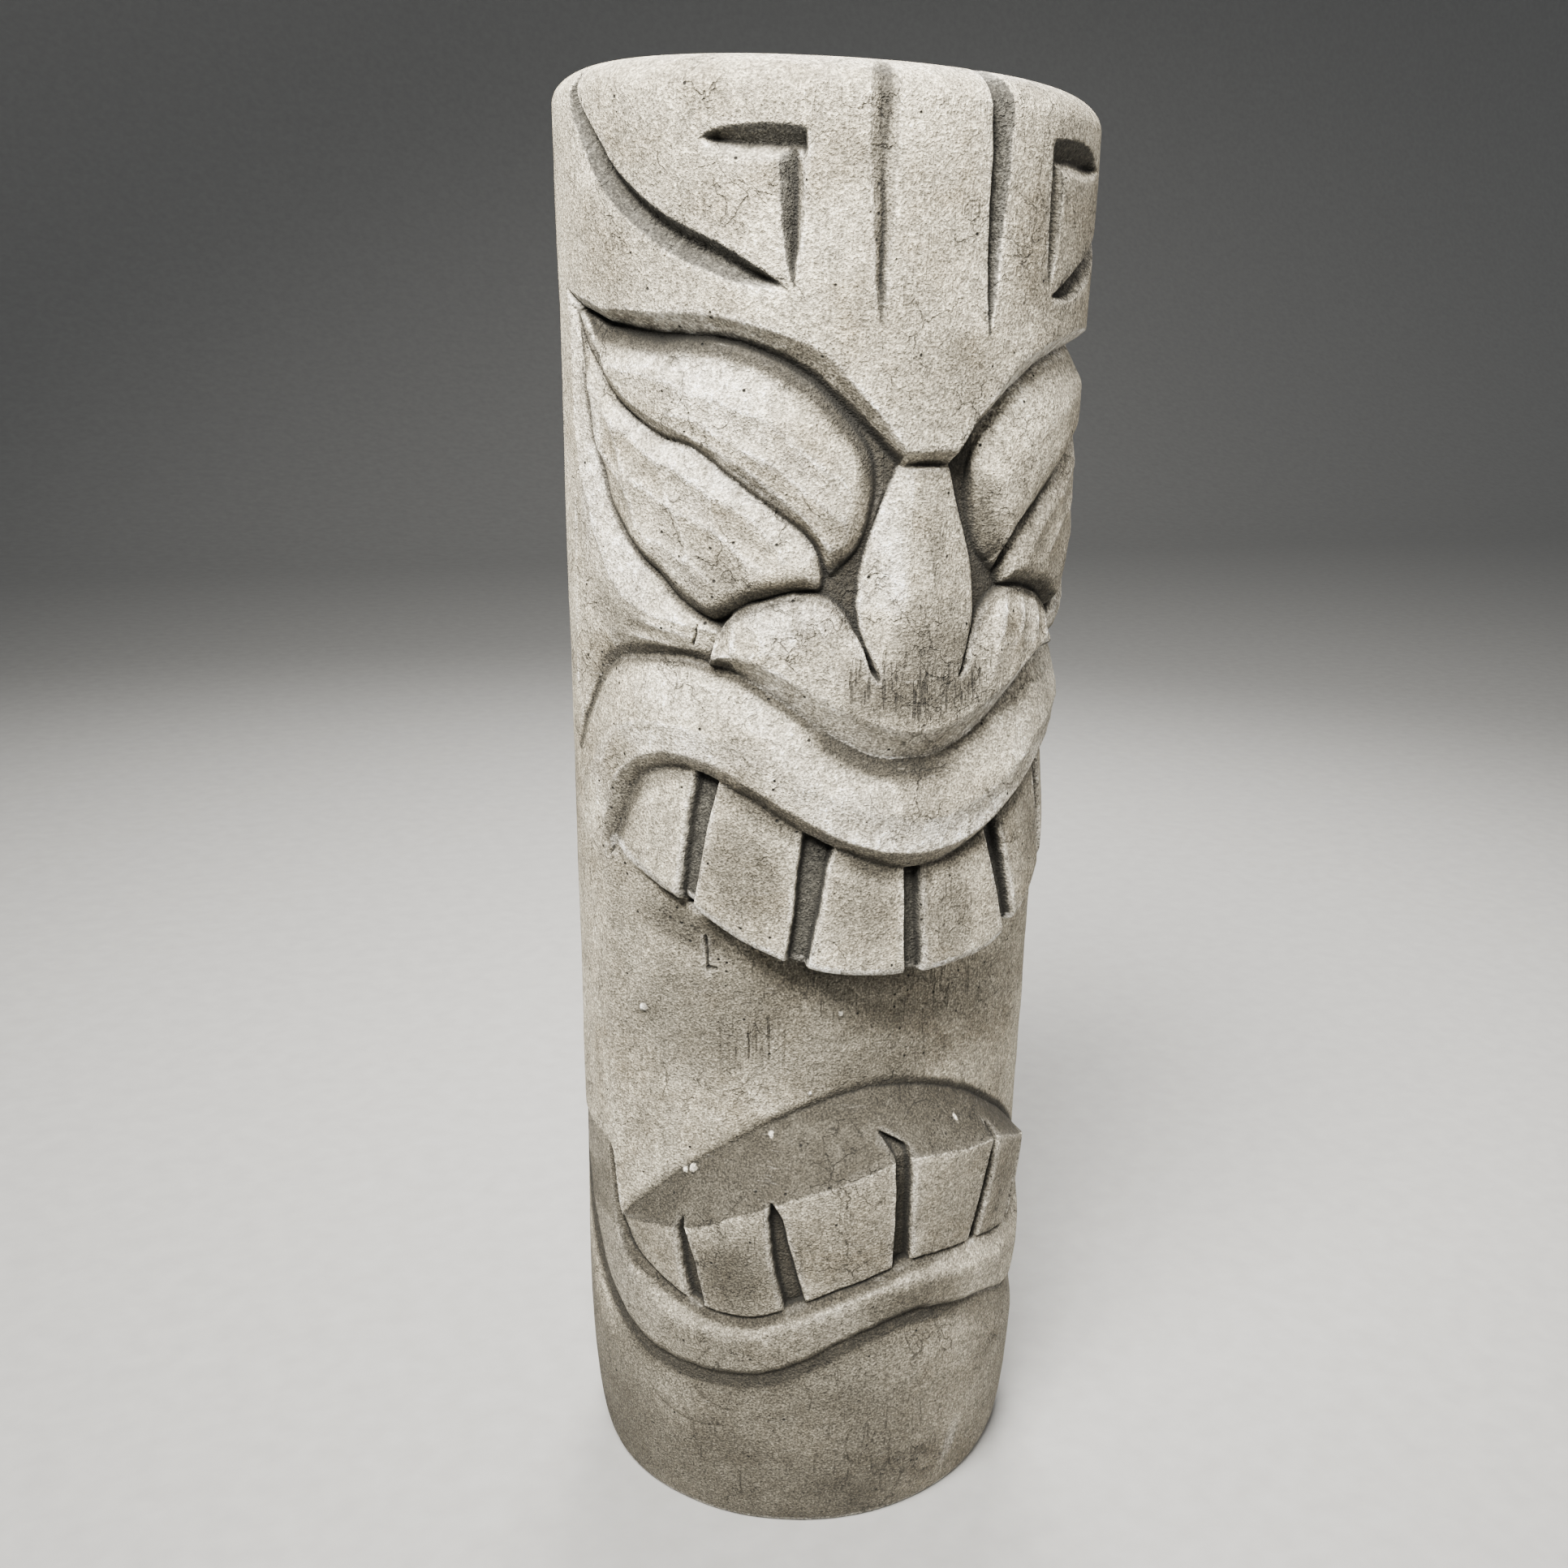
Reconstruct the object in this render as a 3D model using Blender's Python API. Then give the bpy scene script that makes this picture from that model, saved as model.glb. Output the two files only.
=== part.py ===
"""A cast-stone tiki totem: a round post carved all down its front with a grimacing mask, in one piece.

Metres, +Z up. The origin is the centre of the underside, and the mask faces -Y.
The carving is drawn on the unrolled front of the post, in millimetres: `s` runs round the
post from the middle of the face, towards +X, and `z` runs up from the ground. Every cut has a
depth below the round surface of the post. A line is a list of (s, z, depth) points, and the
carving is a set of strips, each between two lines. The eyes, brows and lips are drawn for one
half, on the distance from the middle, and mirrored.
"""

import bmesh
import bpy
import numpy as np

MM = 0.001

# The post, in millimetres.
HEIGHT = 700.0
RADIUS = 121.8
RIM_INSET = 26.0
RIM_HEIGHT = 15.3
FOOT_INSET = 9.2
FOOT_HEIGHT = 92.0
CHIN_SWELL = 1.5
CHIN_LEVEL = 72.0
CHIN_REACH = 38.0

# The grid that the carving is worked out on, and what it is thinned to.
CARVED_HALF_ANGLE = 112.0
CARVED_COLUMNS = 240
PLAIN_COLUMNS = 36
ROWS = 330
RIM_ROWS = 8
SPARE_BELOW = 6.0
MOST_TRIANGLES = 9600
CURVE_STEPS = 6

SOCKET_DEPTH = 10.0
NOSE_ROOT_DEPTH = 7.5
NOSE_ROOT_LEVEL = 549.0
NOSE_TIP_LEVEL = 455.0
NOSE_FACET = 3.0
NOSE_FLAT = 0.55
MOUTH_DEPTH = 32.0
MOUTH_HALF_WIDTH = 166.0
MOUTH_MIDDLE = 4.0  # the mouth sits a little off the middle of the face
LIP_OVERLAP = 4.0
UNDERCUT_RUN = 5.0
TEETH_DEPTH = 3.0
TEETH_ROUNDING = 1.5
TEETH_ROLL = 4.0
BLOCK_DEPTH = 0.5
LIP_STEP_REACH = 34.0

# Brow: its lower rim, and the foot of the wall under it, from the middle of the face outwards.
BROW_NOTCH = 12.0
BROW_RIM = [(12, 555.5, 0), (22, 569, 0), (32, 578, 0), (42, 588, 0), (52, 594, 0), (72, 600.5, 0),
            (95, 604, 0), (125, 604, 0), (155, 604.5, 0), (175, 609, 0), (190, 611.5, 0)]
BROW_FOOT = [(12, 549, 9), (19, 555, 10), (30, 565, 10), (41, 574, 9.5), (52, 581, 9.5), (74, 591, 9),
             (96, 595, 9), (130, 596.5, 9), (155, 599, 8), (178, 604, 5), (190, 611.5, 0)]

# Upper eyelid: the crease that bounds it above and beside the nose, and its lower edge.
LID_CREASE = [(188, 606, 2), (178, 602.5, 6), (155, 598, 8.5), (130, 596, 9), (96, 595, 9), (74, 591, 9),
              (52, 581, 9.5), (41, 573, 10), (31, 562, 10), (25, 548, 10), (25, 532, 10), (31, 516, 9.5),
              (38, 506.5, 8)]
LID_EDGE = [(188, 606, 2), (170, 597, 2), (159, 585, 1.8), (149, 575, 1.5), (123, 562, 1.5),
            (103, 556, 1.5), (82, 547, 1.5), (62, 534, 1.5), (52, 525, 1.5), (43, 513, 3), (38, 506.5, 8)]
LID_CREST = -1.0
LID_ROLL = 24.0

# Lower eyelid: the foot of the step above it, and the crease that bounds it below.
POUCH_TOP = [(182, 601, 2), (173, 589, 3), (161, 577, 4.5), (149, 568, 5), (127, 557, 5.5), (105, 551, 5.5),
             (84, 539, 5.5), (63, 526, 6), (52, 518, 7), (44, 505, 8.5)]
POUCH_CREASE = [(182, 601, 2), (178.5, 580, 3.5), (173, 557, 4.5), (166, 541, 5.5), (157, 522, 6.5),
                (139, 506, 6.5), (126, 498, 7), (116, 490, 7), (105, 484, 7.5), (96, 481, 8),
                (88, 484, 8.5), (74, 491.5, 9), (62, 496, 9), (47, 499, 9), (44, 505, 8.5)]
POUCH_CREST = 0.3
POUCH_ROLL = 17.0

# Cheek: the crest between the bevel around the eye and the hollow over the lip.
CHEEK_CREST = [(190, 611.5, 0), (187, 580, 0), (185, 553, 0), (179, 535, 0), (170, 515, 0), (162, 503, 0.3),
               (152, 491, 0.8), (142, 484.5, 1.4), (132, 481, 2), (115, 479, 2.5), (101, 477, 3.5),
               (88, 475, 6)]
CHEEK_CREASE = [(190, 611.5, 0), (182, 601, 2), (178.5, 580, 3.5), (173, 557, 4.5), (166, 541, 5.5),
                (157, 522, 6.5), (139, 506, 6.5), (126, 498, 7), (116, 490, 7), (105, 484, 7.5),
                (96, 480, 8), (88, 475, 8)]
CHEEK_FADE = (190.0, 164.0)

# Nostrils: their top edge, the rim under nose and nostrils, and the foot of the wall under the rim.
NOSTRIL_TOP = [(0, 458, 0), (20, 460, 1), (26, 472, 4), (31, 480, 6), (36, 488, 6), (44, 494, 6),
               (52, 496, 6), (62, 495, 6), (73, 491.5, 6), (84, 487, 6), (94, 476, 5), (97, 464, 2)]
NOSE_RIM = [(0, 435.5, 0.3), (22, 440, 0.3), (42, 447, 0.3), (62, 458, 0.3), (77, 464, 0.5),
            (88, 466, 1), (97, 464, 2)]
NOSTRIL_ROLL = 17.0
NOSE_SIDE = [(12.5, 549, 9), (15, 542, 9), (19, 532, 9), (24, 521, 9), (28, 510, 9), (30, 499, 9),
             (30.5, 490, 8), (29, 481, 7), (25, 472, 5), (19, 458, 2), (17, 440, 0)]

# Upper lip: the crease over it, its lower edge, and the foot of the wall behind that edge.
LIP_CREASE = [(0, 422, 9), (19, 424, 9), (41, 434, 9), (63, 447, 9), (85, 458, 9), (101, 461.5, 8.5),
              (115, 463, 8.5), (136, 461, 8.5), (160, 455, 8), (172, 446, 6), (184, 429, 3),
              (194, 408, 0)]
LIP_EDGE = [(0, 380, 2.5), (20, 382, 2.5), (40, 388, 2.5), (56, 397, 2.5), (76, 408, 2.5), (97, 417, 2.5),
            (118, 421, 2.5), (138, 417, 2.5), (150, 410, 2.2), (160, 401, 1.6), (166, 391, 1),
            (170, 370, 0)]
LIP_FOOT = [(0, 370.5, 8), (13, 371.5, 8), (34, 378, 8), (56, 388, 8), (78, 400, 8), (100, 409, 8),
            (122, 412, 8), (143, 405, 7.5), (153, 394, 6.5), (160, 380, 5), (166, 366, 2)]
LIP_SECTION = [(0, 1), (0.12, 0.78), (0.3, 0.5), (0.5, 0.22), (0.65, 0.05), (0.78, -0.1), (0.9, -0.02),
               (1, 0)]

# Teeth: the lower edge of the upper row, then the block of the lower row.
UPPER_TEETH_EDGE = [(0, 319, 3), (25, 319.5, 3), (46, 322, 3), (66, 328, 3), (87, 336, 3), (107, 346, 3),
                    (128, 353.5, 3), (150, 363, 3), (161, 369, 2.5), (166, 366, 2)]
BLOCK_BACK = [(-160, 165, 2), (-151, 173, 4), (-134, 189, 0), (-114, 206, 0), (-91, 221, 0), (-66, 232, 0),
              (-40, 240, 0), (-10, 246, 0), (20, 244, 0), (50, 238, 0), (75, 229, 0), (100, 215, 0),
              (125, 198, 0), (145, 181, 0), (165, 165, 2)]
BLOCK_EDGE = [(-160, 165, 2), (-148, 167, 1.5), (-133, 171, 1), (-112, 176, 0.8), (-97, 181, 0.5),
              (-82, 190, 0.5), (-65, 197, 0.5), (-47, 205, 0.5), (-32, 209, 0.5), (-16, 214, 0.5),
              (-2, 218, 0.5), (11, 219, 0.5), (29, 217.5, 0.5), (44, 215, 0.5), (72, 210, 0.5),
              (95, 200, 0.5), (117, 190, 0.5), (140, 176, 1), (165, 165, 2)]
BLOCK_FOOT = [(-159, 165, 3), (-152, 149, 5), (-137, 141, 5), (-115, 133, 5), (-94, 129, 5), (-73, 130, 5),
              (-52, 138, 5), (-31, 146, 5), (-10, 152, 5), (11, 157, 5), (33, 156, 5), (61, 153, 5),
              (90, 145, 5), (115, 140, 5), (135, 142, 5), (152, 151, 4.5), (164, 165, 3)]

# Lower lip: its inner edge past the ends of the block, its crest, and the foot of the step under it.
LEFT_CORNER = [(-164, 200, 0.5), (-162, 182, 1.5)]
RIGHT_CORNER = [(167, 182, 1.5), (170, 200, 0.5)]
LOWER_CREST = [(-168, 206, 0), (-167, 186, 0), (-164, 168, -0.2), (-157, 150, -0.6), (-144, 134, -1),
               (-126, 122, -1),
               (-101, 118, -1), (-71, 119, -1), (-52, 128, -1), (-32, 138, -1), (-12, 145, -1),
               (8, 147, -1), (27, 145, -1), (57, 140, -1), (85, 131, -1), (115, 124, -1), (140, 131, -1),
               (159, 148, -0.6), (169, 168, -0.2), (173, 186, 0), (174, 206, 0)]
LOWER_FOOT = [(-236, 205, 0), (-220, 174, 0.8), (-205, 147, 2.2), (-190, 124, 4), (-170, 107, 4.5),
              (-147, 97, 4.5),
              (-125, 93, 4.5), (-94, 92, 4.5), (-73, 95, 4.5), (-52, 103, 4.5), (-31, 114, 4.5),
              (-10, 123, 4.5), (11, 127, 4.5), (32, 124, 4.5), (74, 113, 4.5), (100, 101, 4.5),
              (120, 96, 4.5), (145, 98, 4.5), (170, 110, 4.5), (190, 126, 4), (205, 149, 2.2),
              (220, 176, 0.8), (236, 206, 0)]
LOWER_SECTION = [(0, 0), (0.35, 0.05), (0.62, 0.18), (0.78, 0.4), (0.9, 0.8), (1, 1)]

# Gaps between teeth: (s, z) at the top and the bottom, the half width at each, and the depth cut.
UPPER_GAPS = [((-101, 415), (-112, 344), 5.5, 3.5, 6), ((-45, 390), (-55.5, 322), 7, 4.5, 6),
              ((4, 376), (4.5, 310), 3.5, 4.5, 6), ((52, 390), (71.5, 325), 4.5, 5.5, 6),
              ((103, 415), (117, 344), 5.5, 3.5, 6)]
LOWER_GAPS = [((-113, 178), (-103, 134), 2.5, 3.5, 5), ((-65, 197), (-54, 138), 1.5, 5.5, 7),
              ((1.5, 226), (5, 156), 3.0, 5.5, 6), ((76, 210), (59, 152), 4, 3, 6),
              ((116, 192), (106, 138), 2.5, 3.5, 5)]

# Marks on the forehead: (s, z, half width) along each cut, and the depth of it.
FOREHEAD_CUTS = [([(-28, 704, 5.5), (-26.5, 660, 5), (-25.5, 625, 3), (-25, 606, 0.5)], 4.0),
                 ([(24, 704, 5.5), (24.5, 660, 4.6), (25, 625, 3), (25.5, 598, 0.5)], 4.5),
                 ([(-58.5, 671, 4.5), (-61, 650, 4.2), (-61.5, 630, 2.6), (-61.5, 616, 0.5)], 5.0),
                 ([(-58.5, 669, 4), (-72, 667, 6), (-88, 667.5, 4), (-101, 669, 0.5)], 5.0),
                 ([(60, 674, 4.5), (60.5, 650, 4.2), (60.5, 632, 2.6), (59.5, 620, 0.5)], 5.0),
                 ([(60, 671, 4), (74, 670, 6), (94, 670, 4), (112, 669, 0.5)], 5.0)]
CRESCENT_UPPER = [(174, 697, 0), (168, 684, 0), (152, 668, 0), (142, 658, 0), (122, 645, 0), (102, 636, 0),
                  (82, 627, 0), (62, 616.5, 0)]
CRESCENT_LOWER = [(174, 697, 0), (177, 682, 0), (168, 668, 0), (152, 651, 0), (132, 637, 0), (112, 626.5, 0),
                  (92, 619, 0), (77, 616, 0), (62, 616.5, 0)]
CRESCENT_SECTION = [(0, 0), (0.22, 0.95), (0.35, 1), (0.7, 0.45), (1, 0)]
CRESCENT_DEPTH = 6.0

STONE = (0.42, 0.39, 0.335, 1)
STONE_ROUGHNESS = 0.9


def clear_scene():
    for thing in list(bpy.data.objects):
        bpy.data.objects.remove(thing, do_unlink=True)


def smooth(value):
    value = np.clip(value, 0, 1)
    return value * value * (3 - 2 * value)


def section(u, points):
    """A drawn profile, read at u."""
    return np.interp(u, [x for x, _ in points], [y for _, y in points])


def curve(points):
    """A smooth curve through the points, as a close row of points."""
    p = np.array(points, float)
    p = np.vstack([2 * p[0] - p[1], p, 2 * p[-1] - p[-2]])
    t = (np.arange(CURVE_STEPS) / CURVE_STEPS)[:, None]
    made = []
    for a, b, c, d in zip(p[:-3], p[1:-2], p[2:-1], p[3:]):
        bend = 2 * a - 5 * b + 4 * c - d
        twist = 3 * b - a - 3 * c + d
        made.append(b + 0.5 * ((c - a) * t + bend * t**2 + twist * t**3))
    return np.vstack(made + [p[-2:-1]])


def both_halves(points, middle=0.0):
    """A line drawn from the middle outwards, carried over to the other half."""
    return [(middle - s, z, d) for s, z, d in points[:0:-1]] + [(middle + s, z, d) for s, z, d in points]


def nearest(s, z, line):
    """The distance to the line, and the line's own third value at the nearest place."""
    best = np.full(s.shape, 1e12)
    value = np.zeros(s.shape)
    for (s0, z0, v0), (s1, z1, v1) in zip(line[:-1], line[1:]):
        run = max((s1 - s0) ** 2 + (z1 - z0) ** 2, 1e-9)
        t = np.clip(((s - s0) * (s1 - s0) + (z - z0) * (z1 - z0)) / run, 0, 1)
        away = (s - s0 - t * (s1 - s0)) ** 2 + (z - z0 - t * (z1 - z0)) ** 2
        closer = away < best
        best = np.where(closer, away, best)
        value = np.where(closer, v0 + t * (v1 - v0), value)
    return np.sqrt(best), value


def inside(s, z, ring):
    """Which places lie inside the closed ring."""
    within = np.zeros(s.shape, bool)
    for (s0, z0), (s1, z1) in zip(ring[:, :2], np.roll(ring[:, :2], -1, axis=0)):
        if z0 != z1:
            crosses = (z0 > z) != (z1 > z)
            within ^= crosses & (s < s0 + (z - z0) * (s1 - s0) / (z1 - z0))
    return within


def strip(depth, s, z, first, second, shape):
    """Cuts the strip between two lines. shape(u, to_first, to_second, d_first, d_second) gives its depth,
    with u from 0 on the first line to 1 on the second."""
    a, b = curve(first), curve(second)
    ring = np.vstack([a, b[::-1]])
    low, high = ring.min(axis=0), ring.max(axis=0)
    near = np.flatnonzero((s > low[0]) & (s < high[0]) & (z > low[1]) & (z < high[1]))
    near = near[inside(s[near], z[near], ring)]
    to_a, d_a = nearest(s[near], z[near], a)
    to_b, d_b = nearest(s[near], z[near], b)
    u = to_a / np.maximum(to_a + to_b, 1e-9)
    depth[near] = shape(u, to_a, to_b, d_a, d_b)


def straight(u, to_a, to_b, d_a, d_b):
    return d_a + (d_b - d_a) * u


def wall(u, to_a, to_b, d_a, d_b):
    return d_a + (d_b - d_a) * smooth(u)


def rolled(crest, roll, edge_roll):
    """A lid: it rises from the crease on the first line to its crest, and stays near it up to the second."""
    def shape(u, to_a, to_b, d_a, d_b):
        from_crease = d_a * np.clip(1 - to_a / roll, 0, 1) ** 2
        from_edge = d_b * np.clip(1 - to_b / edge_roll, 0, 1) ** 2
        return crest + np.maximum(from_crease, from_edge) + 0.35 * np.minimum(from_crease, from_edge)
    return shape


def cut_brow_and_eyes(depth, s, z):
    across = np.abs(s)
    socket = np.vstack([curve(BROW_RIM), curve(CHEEK_CREST), [(60, 450, 0), (0, 450, 0), (0, 555.5, 0)]])
    depth[inside(across, z, socket)] = SOCKET_DEPTH
    strip(depth, across, z, BROW_RIM, BROW_FOOT, wall)
    notch = (across <= BROW_NOTCH) & (z < BROW_RIM[0][1]) & (z > BROW_FOOT[0][1])
    drop = (BROW_RIM[0][1] - z[notch]) / (BROW_RIM[0][1] - BROW_FOOT[0][1])
    depth[notch] = BROW_FOOT[0][2] * drop
    strip(depth, across, z, CHEEK_CREST, CHEEK_CREASE, straight)
    strip(depth, across, z, LID_EDGE, [LID_EDGE[0]] + POUCH_TOP + [LID_EDGE[-1]], wall)
    strip(depth, across, z, POUCH_CREASE, POUCH_TOP, rolled(POUCH_CREST, POUCH_ROLL, 12.0))
    strip(depth, across, z, LID_CREASE, LID_EDGE, rolled(LID_CREST, LID_ROLL, 8.0))


def cut_cheek_hollow(depth, s, z):
    """The hollow between the cheek's crest and the lip. It fades out towards the side of the post."""
    across = np.abs(s)
    fade = smooth((CHEEK_FADE[0] - across) / (CHEEK_FADE[0] - CHEEK_FADE[1]))
    hollow = np.zeros_like(depth)
    strip(hollow, across, z, CHEEK_CREST[2:], LIP_CREASE[4:][::-1],
          lambda u, to_a, to_b, d_a, d_b: d_a + (d_b - d_a) * u**1.9)
    depth[:] = np.where(hollow > 0, np.maximum(hollow * fade, 0), depth)


def cut_nose(depth, s, z):
    """The nose and both nostrils, which share the rim under them."""
    across = np.abs(s)
    foot = both_halves(LIP_CREASE[:6])
    apron = [(s0, z0 - LIP_OVERLAP, d0) for s0, z0, d0 in foot]
    strip(depth, s, z, foot, apron, straight)
    strip(depth, s, z, both_halves(NOSE_RIM), foot, wall)
    strip(depth, s, z, both_halves(NOSTRIL_TOP), both_halves(NOSE_RIM), rolled(0, NOSTRIL_ROLL, 1.0))
    side = curve(NOSE_SIDE)
    half_width = np.interp(z, side[::-1, 1], side[::-1, 0])
    on_nose = (across < half_width) & (z < NOSE_ROOT_LEVEL) & (z > NOSE_SIDE[-1][1])
    rise = np.clip((z - NOSE_TIP_LEVEL) / (NOSE_ROOT_LEVEL - NOSE_TIP_LEVEL), 0, 1)
    facet = np.clip((across / half_width - NOSE_FLAT) / (1 - NOSE_FLAT), 0, 1) ** 1.5
    bridge = NOSE_ROOT_DEPTH * rise + NOSE_FACET * facet * smooth(rise * 3)
    depth[on_nose] = bridge[on_nose]


def cut_upper_lip(depth, s, z):
    strip(depth, s, z, both_halves(LIP_CREASE), both_halves(LIP_EDGE, MOUTH_MIDDLE),
          lambda u, to_a, to_b, d_a, d_b: d_b + (d_a - d_b) * section(u, LIP_SECTION))


def cut_mouth(depth, s, z):
    """The hollow of the open mouth, from the upper lip's edge to the lower lip's crest."""
    turn = np.clip(np.abs(s - MOUTH_MIDDLE) / MOUTH_HALF_WIDTH, 0, 1)
    hollow = MOUTH_DEPTH * np.cos(turn * np.pi / 2)
    ring = np.vstack([curve(both_halves(LIP_EDGE, MOUTH_MIDDLE)), curve(LOWER_CREST)[::-1]])
    within = inside(s, z, ring)
    depth[within] = hollow[within]
    return hollow


def cut_gaps(depth, s, z, gaps, ring):
    """Sinks the gaps between the teeth, inside the ring of a row of teeth."""
    row = inside(s, z, ring)
    for (s0, z0), (s1, z1), top_half, low_half, cut in gaps:
        away, half = nearest(s, z, [(s0, z0, top_half), (s1, z1, low_half)])
        within = row & (away < half)
        depth[within] += cut * smooth(1.8 * (1 - away / half))[within]


def cut_upper_teeth(depth, s, z, hollow):
    foot, edge = both_halves(LIP_FOOT, MOUTH_MIDDLE), both_halves(UPPER_TEETH_EDGE, MOUTH_MIDDLE)
    below = [(s0, z0 - UNDERCUT_RUN, d0) for s0, z0, d0 in edge]
    under = np.full_like(depth, -1)
    strip(under, s, z, edge, below, lambda u, to_a, to_b, d_a, d_b: u)
    found = under >= 0
    depth[found] = (TEETH_DEPTH + (np.maximum(hollow, TEETH_DEPTH) - TEETH_DEPTH) * smooth(under))[found]
    strip(depth, s, z, foot, edge,
          lambda u, to_a, to_b, d_a, d_b: d_b + (d_a - d_b) * (1 - u) ** 1.5
          + TEETH_ROUNDING * np.clip(1 - to_b / TEETH_ROLL, 0, 1) ** 2)
    cut_gaps(depth, s, z, UPPER_GAPS, np.vstack([curve(foot), curve(below)[::-1]]))
    strip(depth, s, z, both_halves(LIP_EDGE, MOUTH_MIDDLE), foot, wall)


def cut_lower_teeth(depth, s, z, hollow):
    top = np.full_like(depth, -1)
    strip(top, s, z, BLOCK_EDGE, BLOCK_BACK, lambda u, to_a, to_b, d_a, d_b: u)
    found = top >= 0
    depth[found] = (BLOCK_DEPTH + (np.maximum(hollow, BLOCK_DEPTH) - BLOCK_DEPTH) * top)[found]
    strip(depth, s, z, BLOCK_EDGE, BLOCK_FOOT,
          lambda u, to_a, to_b, d_a, d_b: d_a + (d_b - d_a) * u**1.4)
    cut_gaps(depth, s, z, LOWER_GAPS, np.vstack([curve(BLOCK_BACK), curve(BLOCK_FOOT)[::-1]]))


def cut_lower_lip(depth, s, z):
    inner = LEFT_CORNER + BLOCK_FOOT + RIGHT_CORNER
    strip(depth, s, z, inner, LOWER_CREST,
          lambda u, to_a, to_b, d_a, d_b: d_a + 1.5 + (d_b - d_a - 1.5) * u**0.8)
    strip(depth, s, z, LOWER_CREST, LOWER_FOOT,
          lambda u, to_a, to_b, d_a, d_b: d_a + (d_b - d_a) * section(u, LOWER_SECTION))


def cut_chin(depth, s, z):
    """Below the lip the post is cut back, and it swells out again over the chin."""
    foot = curve(LOWER_FOOT)
    level = np.interp(s, foot[:, 0], foot[:, 1])
    step = np.interp(s, foot[:, 0], foot[:, 2])
    below = (z < level) & (np.abs(s) < LOWER_FOOT[-1][0])
    cut = step * (1 - smooth((level - z) / LIP_STEP_REACH))
    depth[below] = cut[below]
    swell = CHIN_SWELL * np.exp(-(((z - CHIN_LEVEL) / CHIN_REACH) ** 2)) * smooth((210 - np.abs(s)) / 60)
    depth[below] -= (swell * smooth((level - z) / LIP_STEP_REACH))[below]


def cut_forehead(depth, s, z):
    for points, cut in FOREHEAD_CUTS:
        away, half = nearest(s, z, curve(points))
        groove = cut * np.clip(half / 4, 0.15, 1) * smooth(1.5 * (1 - away / np.maximum(half, 0.1)))
        depth[:] = np.where(away < half, np.maximum(depth, groove), depth)
    strip(depth, np.abs(s), z, CRESCENT_UPPER, CRESCENT_LOWER,
          lambda u, to_a, to_b, d_a, d_b: CRESCENT_DEPTH * section(u, CRESCENT_SECTION)
          * smooth((to_a + to_b) / 9))


def carved_depth(s, z):
    """How far the carving lies below the round surface, at each place."""
    depth = np.zeros(s.shape)
    cut_brow_and_eyes(depth, s, z)
    cut_cheek_hollow(depth, s, z)
    hollow = cut_mouth(depth, s, z)
    cut_nose(depth, s, z)
    cut_upper_lip(depth, s, z)
    cut_upper_teeth(depth, s, z, hollow)
    cut_lower_teeth(depth, s, z, hollow)
    cut_lower_lip(depth, s, z)
    cut_chin(depth, s, z)
    cut_forehead(depth, s, z)
    return depth


def post_radius(z):
    """The radius of the uncarved post, with its rounded top rim and its drawn-in foot."""
    into_foot = np.clip(1 - z / FOOT_HEIGHT, 0, 1)
    into_rim = np.clip(1 - (HEIGHT - z) / RIM_HEIGHT, 0, 1)
    foot = FOOT_INSET * (1 - np.sqrt(1 - into_foot**2))
    rim = RIM_INSET * (1 - np.sqrt(1 - into_rim**2))
    return RADIUS - foot - rim


def grid_angles():
    """Angles round the post from the middle of the face: close on the carved side, wide behind."""
    half = np.radians(CARVED_HALF_ANGLE)
    front = np.linspace(-half, half, CARVED_COLUMNS, endpoint=False)
    return np.concatenate([front, np.linspace(half, 2 * np.pi - half, PLAIN_COLUMNS, endpoint=False)])


def grid_levels():
    straight_rows = np.linspace(-SPARE_BELOW, HEIGHT - RIM_HEIGHT, ROWS)
    turn = np.linspace(0, np.pi / 2, RIM_ROWS + 1)[1:]
    return np.concatenate([straight_rows, HEIGHT - RIM_HEIGHT * (1 - np.sin(turn))])


def carved_mesh():
    """The whole post as a closed mesh, a little longer than it should be below the ground."""
    angles, levels = grid_angles(), grid_levels()
    angle, z = (x.ravel() for x in np.meshgrid(angles, levels))
    wrapped = np.where(angle > np.pi, angle - 2 * np.pi, angle)
    radius = post_radius(np.clip(z, 0, HEIGHT)) - carved_depth(wrapped * RADIUS, z)
    points = np.stack([radius * np.sin(angle), -radius * np.cos(angle), z], axis=-1) * MM
    round_count, row_count = len(angles), len(levels)
    faces = []
    for row in range(row_count - 1):
        for column in range(round_count):
            beside = (column + 1) % round_count
            low, high = row * round_count, (row + 1) * round_count
            faces.append((low + column, low + beside, high + beside, high + column))
    middle = np.array([[0, 0, levels[0]], [0, 0, levels[-1]]]) * MM
    last_row = (row_count - 1) * round_count
    under, over = len(points), len(points) + 1
    for column in range(round_count):
        beside = (column + 1) % round_count
        faces.append((column, under, beside))
        faces.append((last_row + column, last_row + beside, over))
    mesh = bpy.data.meshes.new("carved_post")
    mesh.from_pydata(np.vstack([points, middle]).tolist(), [], faces)
    return mesh


def thinned(mesh):
    """The mesh with far fewer faces, kept close together only where the carving turns sharply."""
    thing = bpy.data.objects.new("thinning", mesh)
    bpy.context.scene.collection.objects.link(thing)
    mesh.calc_loop_triangles()
    fewer = thing.modifiers.new("fewer", "DECIMATE")
    fewer.ratio = MOST_TRIANGLES / len(mesh.loop_triangles)
    fewer.use_collapse_triangulate = True
    bpy.context.view_layer.update()
    done = bpy.data.meshes.new_from_object(thing.evaluated_get(bpy.context.evaluated_depsgraph_get()))
    bpy.data.objects.remove(thing, do_unlink=True)
    return done


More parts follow.
